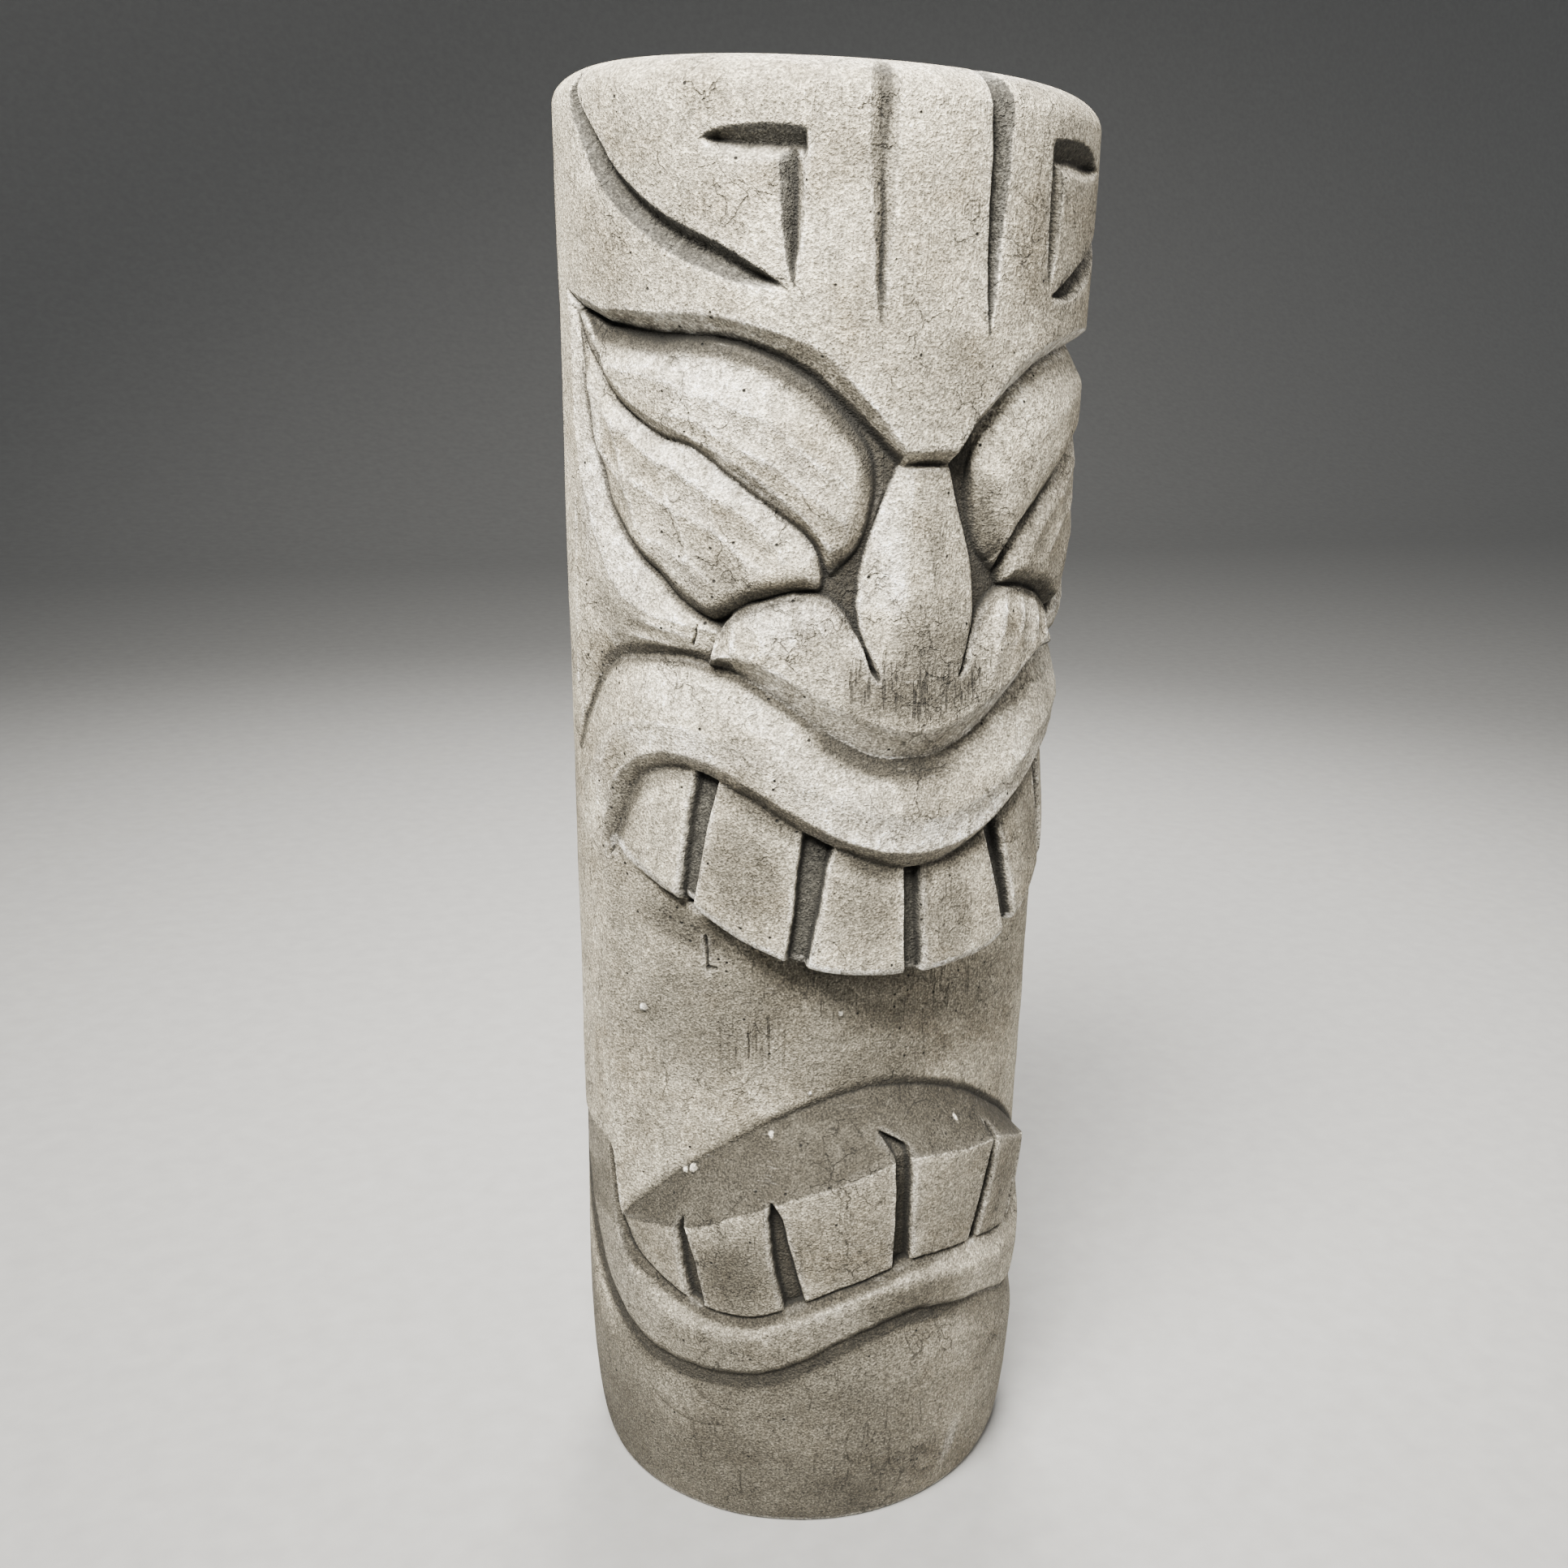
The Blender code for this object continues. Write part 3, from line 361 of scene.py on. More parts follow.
def blurred(field, reach, passes=3):
    """The field with everything finer than reach mm smoothed away."""
    n = max(1, int(round(reach / SPACING)))
    for _ in range(passes):
        for axis in (0, 1):
            pad = [(0, 0), (0, 0)]
            pad[axis] = (n + 1, n)
            total = np.cumsum(np.pad(field, pad, mode="edge"), axis=axis)
            ends = np.arange(2 * n + 1, total.shape[axis])
            field = np.take(total, ends, axis) - np.take(total, ends - 2 * n - 1, axis)
            field = field / (2 * n + 1)
    return field


# Hand-cut lines wander a little, so every line is read at places moved by a little unevenness.
GRID_S, GRID_Z = np.meshgrid(COLUMN_S, ROW_Z)
CUT_S = GRID_S + 0.55 * waves(17, 1) + 0.28 * waves(5, 2)
CUT_Z = GRID_Z + 0.55 * waves(17, 3) + 0.28 * waves(5, 4)

# How deep the chisel's scoops are everywhere, and the tone that the wash left on each of them: 1 is brown
# and -1 is pale. Then the places brushed with slate grey wash and with brown wash, which also hold shade
# painted into creases, gaps and hollows and under overhangs, and the places made pale, which also hold
# light painted onto faces turned to the light.
TOOLED = np.zeros(SHAPE)
TONED = np.zeros(SHAPE)
SLATED_AND_SHADED = np.zeros(SHAPE)
BROWNED_AND_SHADED = np.zeros(SHAPE)
PALED_AND_LIT = np.zeros(SHAPE)


def curve(points):
    """A smooth curve through the points, as a close row of points."""
    p = np.array(points, float)
    p = np.vstack([2 * p[0] - p[1], p, 2 * p[-1] - p[-2]])
    t = (np.arange(CURVE_STEPS) / CURVE_STEPS)[:, None]
    made = []
    for a, b, c, d in zip(p[:-3], p[1:-2], p[2:-1], p[3:]):
        bend = 2 * a - 5 * b + 4 * c - d
        twist = 3 * b - a - 3 * c + d
        made.append(b + 0.5 * ((c - a) * t + bend * t**2 + twist * t**3))
    return np.vstack(made + [p[-2:-1]])


def evenly(line, count=81):
    """The same line as count points an equal way apart."""
    run = np.concatenate([[0], np.cumsum(np.hypot(*np.diff(line[:, :2], axis=0).T))])
    at = np.linspace(0, run[-1], count)
    return np.stack([np.interp(at, run, line[:, k]) for k in range(line.shape[1])], axis=1), run[-1]


def on_side(points, side, middle=0.0):
    """A line drawn on the distance from the middle, on the side of +X (1) or of -X (-1)."""
    return [(middle + side * s, z, d) for s, z, d in points]


def both_halves(points, middle=0.0):
    """A line drawn from the middle outwards, carried over to the other half."""
    return on_side(points[:0:-1], -1, middle) + on_side(points, 1, middle)


def lowered(points, drop):
    return [(s, z - drop, d) for s, z, d in points]


def flat(points):
    """A line on the uncarved post, drawn as (s, z) points."""
    return [(s, z, 0) for s, z in points]


def lay(field, amount):
    """Lays an amount over a field. Where the field already has more, it stays as it is."""
    field[:] = np.maximum(field, amount)


def ring_of(first, second):
    """The closed ring that two lines enclose."""
    return np.vstack([curve(first), curve(second)[::-1]])


def nearest(s, z, line):
    """The distance to the line, and the line's own third value at the nearest place."""
    best = np.full(s.shape, 1e12)
    value = np.zeros(s.shape)
    for (s0, z0, v0), (s1, z1, v1) in zip(line[:-1], line[1:]):
        run = max((s1 - s0) ** 2 + (z1 - z0) ** 2, 1e-9)
        t = np.clip(((s - s0) * (s1 - s0) + (z - z0) * (z1 - z0)) / run, 0, 1)
        away = (s - s0 - t * (s1 - s0)) ** 2 + (z - z0 - t * (z1 - z0)) ** 2
        closer = away < best
        best = np.where(closer, away, best)
        value = np.where(closer, v0 + t * (v1 - v0), value)
    return np.sqrt(best), value


def inside(s, z, ring):
    """Which places lie inside the closed ring."""
    within = np.zeros(s.shape, bool)
    for (s0, z0), (s1, z1) in zip(ring[:, :2], np.roll(ring[:, :2], -1, axis=0)):
        if z0 != z1:
            crosses = (z0 > z) != (z1 > z)
            within ^= crosses & (s < s0 + (z - z0) * (s1 - s0) / (z1 - z0))
    return within


def window(points, margin):
    """The rows and columns of the grid that hold the points."""
    low, high = np.min(points, axis=0)[:2] - margin, np.max(points, axis=0)[:2] + margin
    rows = slice(*np.searchsorted(ROW_Z, (low[1], high[1])))
    columns = slice(*np.searchsorted(COLUMN_S, (low[0], high[0])))
    return rows, columns


def within_ring(ring):
    """The window round a ring, and which of its places lie inside."""
    place = window(ring, WARP_REACH)
    return place, inside(CUT_S[place], CUT_Z[place], ring)


def strip(depth, first, second, shape):
    """Cuts the strip between two lines. shape(u, to_a, to_b, d_a, d_b) gives its depth, with u from 0 on the
    first line to 1 on the second, the distances to both, and the depths of both where they are nearest."""
    a, b = curve(first), curve(second)
    place, within = within_ring(np.vstack([a, b[::-1]]))
    s, z = CUT_S[place][within], CUT_Z[place][within]
    to_a, d_a = nearest(s, z, a)
    to_b, d_b = nearest(s, z, b)
    u = to_a / np.maximum(to_a + to_b, 1e-9)
    depth[place][within] = shape(u, to_a, to_b, d_a, d_b)


def sloped(share):
    """A slope from the first line's depth to the second's. share(u) is how much of the way it has come."""
    def shape(u, to_a, to_b, d_a, d_b):
        return d_a + (d_b - d_a) * share(u)
    return shape


straight = sloped(lambda u: u)
wall = sloped(lambda u: section(u, WALL_SECTION))


def rolled(crest, roll, edge_roll):
    """A lid: it rises from the crease on the first line to its crest, and stays near it up to the second.
    roll and edge_roll are how wide it is rounded along the two."""
    def shape(u, to_a, to_b, d_a, d_b):
        from_crease = d_a * np.clip(1 - to_a / roll, 0, 1) ** 2
        from_edge = d_b * np.clip(1 - to_b / edge_roll, 0, 1) ** 2
        return crest + np.maximum(from_crease, from_edge) + 0.35 * np.minimum(from_crease, from_edge)
    return shape


def scoops(depth, cuts, ring, contrast=1.0):
    """Adds shallow scoops of a round chisel inside a ring. Where they overlap the deeper counts, so ridges
    stay between. contrast is how far the finish's tone may differ from one scoop to the next."""
    rng = np.random.default_rng(len(cuts))
    scooped, toned = np.zeros(SHAPE), np.zeros(SHAPE)
    for s0, z0, s1, z1, half, cut in cuts:
        place = window([(s0, z0), (s1, z1)], half + WARP_REACH)
        s, z = CUT_S[place] - s0, CUT_Z[place] - z0
        run = math.hypot(s1 - s0, z1 - z0)
        along = (s * (s1 - s0) + z * (z1 - z0)) / run**2
        across = (s * (z1 - z0) - z * (s1 - s0)) / run / half
        scoop = cut * np.clip(1 - across**2 - (2 * along - 1)**4, 0, None)
        tone = contrast * rng.uniform(-1, 0.6) * smooth(3 * scoop / cut)
        toned[place] = np.where(scoop > scooped[place], tone, toned[place])
        scooped[place] = np.maximum(scooped[place], scoop)
    place, within = within_ring(ring)
    kept = np.zeros(SHAPE)
    kept[place] = within
    scooped *= kept
    depth += scooped
    lay(TOOLED, scooped)
    TONED[:] = np.where(scooped > 0, toned, TONED)


def cuts_on_side(cuts, side, share=1.0):
    return [(side * s0, z0, side * s1, z1, half, share * cut) for s0, z0, s1, z1, half, cut in cuts]


def dress(depth, first, second, courses, length, cut, slant, seed, wide=0.72):
    """Dresses a strip with scoops that run along it, in courses from the first line to the second. length is
    their step along the longer line, slant how far they lean across the strip, and wide their half width in
    shares of a course."""
    rng = np.random.default_rng(seed)
    (a, long_a), (b, long_b) = evenly(curve(first)), evenly(curve(second))
    step = length / max(long_a, long_b)

    def place(t, u):
        t, u = np.clip(t, 0, 1) * (len(a) - 1), np.clip(u, 0, 1)
        k = min(int(t), len(a) - 2)
        on_a, on_b = a[k] + (a[k + 1] - a[k]) * (t - k), b[k] + (b[k + 1] - b[k]) * (t - k)
        return on_a[:2] * (1 - u) + on_b[:2] * u, np.hypot(*(on_a - on_b)[:2])

    cuts = []
    for course in range(courses):
        t = rng.uniform(-0.8, 0) * step
        while t < 1:
            u = (course + rng.uniform(0.35, 0.65)) / courses
            lean = slant * rng.uniform(0.5, 1.4)
            start, _ = place(t, u - lean)
            end, _ = place(t + 1.5 * step, u + lean)
            breadth = place(t + 0.75 * step, u)[1]
            half = max(1.5, wide * breadth / courses * rng.uniform(0.8, 1.2))
            if np.hypot(*(end - start)) > 2 and breadth > 2.5 * courses:
                cuts.append((*start, *end, half, cut * rng.uniform(0.55, 1.25)))
            t += step * rng.uniform(0.75, 1.2)
    scoops(depth, cuts, ring_of(first, second))


def brush(field, first, second, amount, share=1.0):
    """Brushes an amount of one of the finish's fields over the strip between two lines. share may vary over
    the grid."""
    brushed = np.zeros(SHAPE)
    place, within = within_ring(ring_of(first, second))
    brushed[place] = amount * within
    lay(field, brushed * share)


def pool_shade(first, second, reach, amount, share=1.0):
    """Paints shade along the first of two lines, in the brown wash's colour. It fades out within reach mm
    towards the second.
    """
    shaded = np.zeros(SHAPE)
    strip(shaded, first, second, lambda u, to_a, *_: amount * smooth(SHADE_EDGE * (1 - to_a / reach)))
    lay(BROWNED_AND_SHADED, shaded * share)


def score(depth, line, half, cut, ends=0.0):
    """Scores a narrow V along a line, as a knife does, half mm wide to each side and cut mm deep. It runs
    out over `ends` mm at each end."""
    path = curve(line)
    place = window(path, half + WARP_REACH)
    s, z = CUT_S[place], CUT_Z[place]
    away = nearest(s, z, path)[0]
    groove = cut * smooth(1 - away / half)
    if ends:
        to_tips = [np.hypot(s - tip[0], z - tip[1]) for tip in (path[0], path[-1])]
        groove *= smooth(np.minimum(*to_tips) / ends)
    depth[place] += groove


def patches(places, edge=0.7):
    """Soft ovals laid over each other, from rows such as the stain rows."""
    laid = np.zeros(SHAPE)
    for middle_s, middle_z, half_width, half_height, lean, amount in places:
        c, n = math.cos(math.radians(lean)), math.sin(math.radians(lean))
        s, z = CUT_S - middle_s, CUT_Z - middle_z
        across, up = (c * s + n * z) / half_width, (c * z - n * s) / half_height
        lay(laid, amount * smooth((1 - np.hypot(across, up)) / edge))
    return laid


# ---------------------------------------------------------------------------- the carving

def cut_socket(depth, side):
    """One socket: the wall under the brow, the bevel of the cheek, and both lids."""
    rim, crest = on_side(BROW_RIM, side), on_side(CHEEK_CREST, side)
    behind_nose = [(side * 60, 450, 0), (0, 450, 0), (0, BROW_RIM[0][1], 0)]
    place, within = within_ring(np.vstack([curve(rim), curve(crest), behind_nose]))
    depth[place][within] = SOCKET_DEPTH
    cut_brow_wall(depth, side)
    cut_cheek_bevel(depth, side)
    cut_eyelids(depth, side)


def cut_brow_wall(depth, side):
    """The wall is washed brown towards the nose and painted lighter further out, where it faces down into
    the shade. Shade is painted along its foot.
    """
    rim, foot = on_side(BROW_RIM, side), on_side(BROW_FOOT, side)
    pale_from = 60 if side < 0 else 15
    outwards = ramp(np.abs(CUT_S), pale_from, pale_from + 35)
    strip(depth, rim, foot, wall)
    brush(BROWNED_AND_SHADED, rim, foot, 0.25, 1 - outwards)
    brush(PALED_AND_LIT, rim, foot, 0.65, outwards)
    pool_shade(foot, rim, 4.5, 0.95, 1 - 0.55 * outwards)
    dress(depth, rim, foot, courses=2, length=20, cut=0.9, slant=0.05, seed=11 + side)


def cut_cheek_bevel(depth, side):
    crest, crease = on_side(CHEEK_CREST, side), on_side(CHEEK_CREASE, side)
    strip(depth, crest, crease, straight)
    # The bevel is made paler, and shade is painted along the crease at its foot.
    brush(PALED_AND_LIT, crest, crease, 0.3)
    pool_shade(crease[2:], crest[1:], 4, 0.9)


def cut_eyelids(depth, side):
    """The step under the upper lid, then the pouch below it, then the lid itself, with shade painted along
    the step's foot and along the creases. The right eye's scoops and step are softer and paler, and so is
    its painted shade."""
    step_foot = on_side([LID_EDGE[0]] + POUCH_TOP + [LID_EDGE[-1]], side)
    edge, lid_crease = on_side(LID_EDGE, side), on_side(LID_CREASE, side)
    pouch_crease, pouch_top = on_side(POUCH_CREASE, side), on_side(POUCH_TOP, side)
    step_brown, step_shade, scooped = (0.5, 0.93, 1.0) if side < 0 else (0.2, 0.5, RIGHT_SCOOPS)
    strip(depth, edge, step_foot, wall)
    dress(depth, edge, step_foot, courses=1, length=16, cut=0.5, slant=0.1, seed=21 + side)
    brush(BROWNED_AND_SHADED, edge, step_foot, step_brown)
    pool_shade(step_foot, edge, 3.5, step_shade)
    strip(depth, pouch_crease, pouch_top, rolled(POUCH_CREST, POUCH_ROLL, edge_roll=12))
    scoops(depth, cuts_on_side(POUCH_SCOOPS, side, scooped), ring_of(pouch_crease, pouch_top),
           contrast=0.5 * scooped)
    strip(depth, lid_crease, edge, rolled(LID_CREST, LID_ROLL, edge_roll=8))
    scoops(depth, cuts_on_side(LID_SCOOPS, side, scooped), ring_of(lid_crease, edge),
           contrast=0.5 * scooped)
    pool_shade(pouch_crease, pouch_top, 8.5, 0.92, 1 - 0.6 * ramp(np.abs(CUT_S), 100, 88))
    if side < 0:
        pool_shade(lid_crease, edge, 12.5, 0.97, 1 - 0.4 * ramp(CUT_Z, 548, 533))
    else:
        pool_shade(lid_crease, edge, 16, 0.6, ramp(CUT_Z, 548, 542))
    score(depth, on_side(BROW_FOOT, side), 1.2, 0.7)
    score(depth, lid_crease[4:], 1.2, 0.8)
    score(depth, step_foot[1:-1], 1.1, 0.6)
    score(depth, pouch_crease[1:], 1.1, 0.6, 5)


def cut_brow_notch(depth):
    """The short straight step where both brows meet over the root of the nose."""
    top, low = BROW_RIM[0][1], BROW_FOOT[0][1]
    across = np.abs(CUT_S)
    notch = (across <= BROW_NOTCH) & (CUT_Z < top) & (CUT_Z > low)
    depth[notch] = BROW_FOOT[0][2] * (top - CUT_Z[notch]) / (top - low)
    below = (across <= BROW_NOTCH + 1) & (CUT_Z <= low) & (CUT_Z > low - 3)
    depth[below] = BROW_FOOT[0][2]


def cut_cheek_hollow(depth, side):
    """The hollow between the cheek's crest and the lip. It fades out towards the side of the post. Shade is
    painted above the crease of the lip.
    """
    fade = ramp(np.abs(CUT_S), *CHEEK_FADE)
    hollow = np.zeros(SHAPE)
    upper, lower = on_side(CHEEK_CREST[2:], side), on_side(LIP_CREASE[4:][::-1], side)
    strip(hollow, upper, lower, sloped(lambda u: u**1.9))
    depth[:] = np.where(hollow > 0, np.maximum(hollow * fade, 0), depth)
    dress(depth, upper, lower, courses=3, length=34, cut=1.3, slant=0.03, seed=51 + side)
    pool_shade(lower, upper, 9, 0.9, fade)
    score(depth, on_side(LIP_CREASE[4:], side), 1.2, 0.7, 10)


def cut_nose(depth):
    """The nose and both nostrils, which share the rim under them."""
    foot, rim, top = both_halves(LIP_CREASE[:6]), both_halves(NOSE_RIM), both_halves(NOSTRIL_TOP)
    strip(depth, foot, lowered(foot, LIP_OVERLAP), straight)
    strip(depth, rim, foot, wall)
    dress(depth, rim, foot, courses=1, length=26, cut=0.8, slant=0.1, seed=61)
    # The wall under the rim faces down; it is painted lighter, most of all towards +X.
    brush(PALED_AND_LIT, rim, foot, 0.6, 0.4 + 0.6 * ramp(CUT_S, 10, 40))
    strip(depth, top, rim, rolled(0, NOSTRIL_ROLL, edge_roll=1))
    # Shade is painted along the top edge of each nostril.
    pool_shade(top, rim, 5.5, 0.8, ramp(GRID_Z, 472, 482))
    for side in (-1, 1):
        dress_nostril(depth, side)
    cut_bridge(depth)
    for side in (-1, 1):
        score(depth, on_side(NOSE_SIDE[1:-1], side), 1.3, 0.9, 8)
        score(depth, on_side(NOSTRIL_TOP[2:], side), 1.1, 0.6, 8)
    score(depth, foot, 1.3, 0.8)


def cut_bridge(depth):
    """The bridge of the nose, in long flat facets. It sinks back towards the root."""
    half_width = nose_half_width()
    on_nose = (np.abs(CUT_S) < half_width) & (CUT_Z < NOSE_ROOT_LEVEL) & (CUT_Z > NOSE_SIDE[-1][1])
    rise = np.clip((CUT_Z - NOSE_TIP_LEVEL) / (NOSE_ROOT_LEVEL - NOSE_TIP_LEVEL), 0, 1)
    bridge = NOSE_ROOT_DEPTH * rise**1.3 * (1 - 0.5 * rise) * 1.5
    bridge += section(CUT_S / half_width, NOSE_FACETS) * smooth(rise * 2.6 + 0.05)
    depth[on_nose] = bridge[on_nose]
    sides = np.array(on_side(NOSE_SIDE, -1) + on_side(NOSE_SIDE[::-1], 1))
    scoops(depth, NOSE_SCOOPS, sides, contrast=0.2)
    # The left facet, turned to the light, is painted lighter, and the middle facet is painted darker, as
    # light and shade.
    brush(PALED_AND_LIT, on_side(NOSE_SIDE[:7], -1), FIRST_ARRIS, 0.3)
    brush(BROWNED_AND_SHADED, FIRST_ARRIS, SECOND_ARRIS, 0.2)


def nose_half_width():
    edge = curve(NOSE_SIDE)
    return np.interp(CUT_Z, edge[::-1, 1], edge[::-1, 0])


def dress_nostril(depth, side):
    """Broad scoops that fan out over a nostril from its top."""
    ring = np.vstack([curve(on_side(NOSTRIL_TOP[1:], side)), curve(on_side(NOSE_RIM[::-1], side))])
    scoops(depth, cuts_on_side(NOSTRIL_SCOOPS, side), ring)


def cut_upper_lip(depth):
    """The lip is hollow up to a sharp break, and below the break it slopes back to its edge."""
    crease, ridge = both_halves(LIP_CREASE), both_halves(LIP_BREAK, MOUTH_MIDDLE)
    edge = both_halves(LIP_EDGE, MOUTH_MIDDLE)
    strip(depth, crease, ridge,
          lambda u, to_a, to_b, d_a, d_b: d_b + (d_a - d_b) * section(u, LIP_SECTION))
    strip(depth, ridge, edge, straight)
    # Below the break, where the lip faces up towards the light, it is painted lighter, except at its left
    # end. Shade is painted under the nose, along the crease.
    brush(PALED_AND_LIT, ridge, edge, 0.35, ramp(CUT_S, -70, -40))
    pool_shade(crease, edge, 15, 0.95, ramp(CUT_S, -62, -42) * (1 - 0.8 * ramp(CUT_S, 5, 35)))
    pool_shade(crease, edge, 6, 0.85, ramp(CUT_S, -40, -55))
    dress(depth, crease, ridge, courses=2, length=52, cut=0.7, slant=0.03, seed=71, wide=0.85)
    dress(depth, ridge, edge, courses=1, length=24, cut=0.9, slant=0.12, seed=72, wide=0.6)


def cut_mouth(depth):
    """The hollow of the open mouth, from the upper lip's edge to the lower lip's crest."""
    turn = np.clip(np.abs(CUT_S - MOUTH_MIDDLE) / MOUTH_HALF_WIDTH, 0, 1)
    hollow = MOUTH_DEPTH * np.cos(turn * np.pi / 2)
    place, within = within_ring(ring_of(both_halves(LIP_EDGE, MOUTH_MIDDLE), LOWER_CREST))
    depth[place][within] = hollow[place][within]
    return hollow


def cut_gaps(depth, gaps, ring, wash_and_shade):
    """Sinks the gaps between the teeth, inside the ring of a row of teeth. Narrow ones are less deep. Shade
    is painted into each gap on the given field, darkest where it is cut deepest.
    """
    row, within = within_ring(ring)
    kept = np.zeros(SHAPE, bool)
    kept[row] = within
    for line, cut in gaps:
        place = window(line, GAP_REACH)
        away, half = nearest(CUT_S[place], CUT_Z[place], line)
        full = cut * np.clip(half / NARROW_GAP, 0, 1)
        gap = np.where(kept[place] & (away < half), full * smooth((half - away) / GAP_WALL), 0)
        wash_and_shade[place] = np.maximum(wash_and_shade[place], 0.95 * smooth(2 * gap / cut))
        depth[place] += gap


def cut_upper_teeth(depth, hollow):
    """The upper row hangs out over the hollow of the mouth, rounded along its lower edge."""
    foot, edge = both_halves(LIP_FOOT, MOUTH_MIDDLE), both_halves(UPPER_TEETH_EDGE, MOUTH_MIDDLE)
    below = lowered(edge, UNDERCUT_RUN)
    under, roll = np.full(SHAPE, -1.0), np.zeros(SHAPE)
    strip(under, edge, below, lambda u, *_: u)
    strip(roll, foot, edge, lambda u, to_a, to_b, *_: np.clip(1 - to_b / TEETH_ROLL, 0, 1) ** 2)
    rounding = TEETH_ROUNDING * ramp(hollow, TEETH_DEPTH, TEETH_DEPTH + 6)
    found = under >= 0
    start = TEETH_DEPTH + rounding
    depth[found] = (start + (np.maximum(hollow, start) - start) * smooth(under))[found]
    strip(depth, foot, edge, lambda u, to_a, to_b, d_a, d_b: d_b + (d_a - d_b) * (1 - u) ** 1.5)
    depth += rounding * roll
    cut_gaps(depth, UPPER_GAPS, ring_of(foot, below), SLATED_AND_SHADED)
    lip_edge = both_halves(LIP_EDGE, MOUTH_MIDDLE)
    strip(depth, lip_edge, foot, wall)
    # Brown wash and painted shade on the wall under the lip's edge, which faces down, and painted shade on
    # the tops of the teeth below it; then a painted highlight along the teeth's lower edge.
    brush(BROWNED_AND_SHADED, lip_edge, foot, 0.45, 1 - 0.6 * ramp(CUT_S, 0, 30))
    dress(depth, lip_edge, foot, courses=1, length=22, cut=0.4, slant=0.1, seed=81)
    pool_shade(foot, edge, 10, 0.62)
    brush(PALED_AND_LIT, lowered(edge, -3.5), lowered(edge, 1), 0.75)
    score(depth, foot, 1.2, 0.8, 12)


def cut_lower_teeth(depth, hollow):
    """The block of the lower row, whose top falls away into the mouth."""
    top = np.full(SHAPE, -1.0)
    strip(top, BLOCK_EDGE, BLOCK_BACK, lambda u, *_: u)
    found = top >= 0
    depth[found] = (BLOCK_DEPTH + (np.maximum(hollow, BLOCK_DEPTH) - BLOCK_DEPTH) * top)[found]
    strip(depth, BLOCK_EDGE, BLOCK_FOOT, sloped(lambda u: u**1.4))
    brush(BROWNED_AND_SHADED, BLOCK_EDGE, BLOCK_BACK, 0.9)
    brush(BROWNED_AND_SHADED, BLOCK_EDGE, BLOCK_FOOT, 0.3)
    cut_gaps(depth, LOWER_GAPS, ring_of(BLOCK_BACK, BLOCK_FOOT), BROWNED_AND_SHADED)
    # Shade is painted along the back of the block, where it meets the hollow of the mouth.
    pool_shade(BLOCK_BACK, lowered(BLOCK_BACK, -30), 6, 0.95, 1 - 0.6 * ramp(CUT_S, -60, -110))
    score(depth, BLOCK_BACK, 1.1, 0.7, 4)


def cut_lower_lip(depth):
    """The lip round the foot of the block, darker brown on its left half, with shade painted along the
    block's foot.
    """
    inner = LEFT_CORNER + BLOCK_FOOT + RIGHT_CORNER
    strip(depth, inner, LOWER_CREST,
          lambda u, to_a, to_b, d_a, d_b: d_a + LIP_FACE_DROP + (d_b - d_a - LIP_FACE_DROP) * u)
    strip(depth, LOWER_CREST, LOWER_FOOT, sloped(lambda u: section(u, LOWER_SECTION)))
    dress(depth, LOWER_CREST, LOWER_FOOT, courses=1, length=34, cut=0.9, slant=0.1, seed=91, wide=0.6)
    leftwards = 1 - 0.85 * ramp(CUT_S, 10, 60)
    brush(BROWNED_AND_SHADED, inner, LOWER_CREST, 0.48, leftwards)
    pool_shade(inner, LOWER_CREST, 9, 0.9, leftwards)
    brush(BROWNED_AND_SHADED, LOWER_CREST, LOWER_FOOT, 0.57, leftwards)
    score(depth, BLOCK_FOOT, 1.2, 0.8, 6)


def cut_chin(depth):
    """Below the lip the post is cut back, and it swells out again over the chin."""
    foot = curve(LOWER_FOOT)
    level = np.interp(CUT_S, foot[:, 0], foot[:, 1])
    step = np.interp(CUT_S, foot[:, 0], foot[:, 2])
    under_lip = smooth((level - CUT_Z) / LIP_STEP_REACH)
    below = (CUT_Z < level) & (np.abs(CUT_S) < LOWER_FOOT[-1][0])
    depth[below] = (step * (1 - under_lip))[below]
    swell = CHIN_SWELL * np.exp(-(((CUT_Z - CHIN_LEVEL) / CHIN_REACH) ** 2))
    swell *= ramp(np.abs(CUT_S), 210, 150) * under_lip
    depth[below] -= swell[below]
    wash_and_shade_chin(level)
    score(depth, LOWER_FOOT[3:-3], 1.2, 0.6, 20)


def wash_and_shade_chin(level):
    """Brown wash and painted shade all round the foot of the post, darker further below the lip, and painted
    shade under the step of the lower lip. On the sides it starts softly, well below the lip.
    """
    round_side = ramp(np.abs(CUT_S), 140, 220)
    darkened = CHIN_WASH_AND_SHADE * smooth((level - CUT_Z) / (3 + 70 * round_side))
    darkened = darkened * (1 - 0.35 * ramp(CUT_S, -25, 45))
    darkened *= 1 - 0.16 * np.clip(waves(30, 111, 0.45) + 0.1, 0, 1)
    lay(BROWNED_AND_SHADED, darkened)
    pool_shade(LOWER_FOOT, lowered(LOWER_FOOT, 30), 15, 0.97, 1 - 0.5 * ramp(CUT_S, 20, 70))


def v_cut(profile, cut):
    """A V cut of the given profile. It is shallower where it is narrow."""
    def shape(u, to_a, to_b, d_a, d_b):
        return cut * np.minimum(1, (to_a + to_b) / FULL_CUT_WIDTH) * section(u, profile)
    return shape


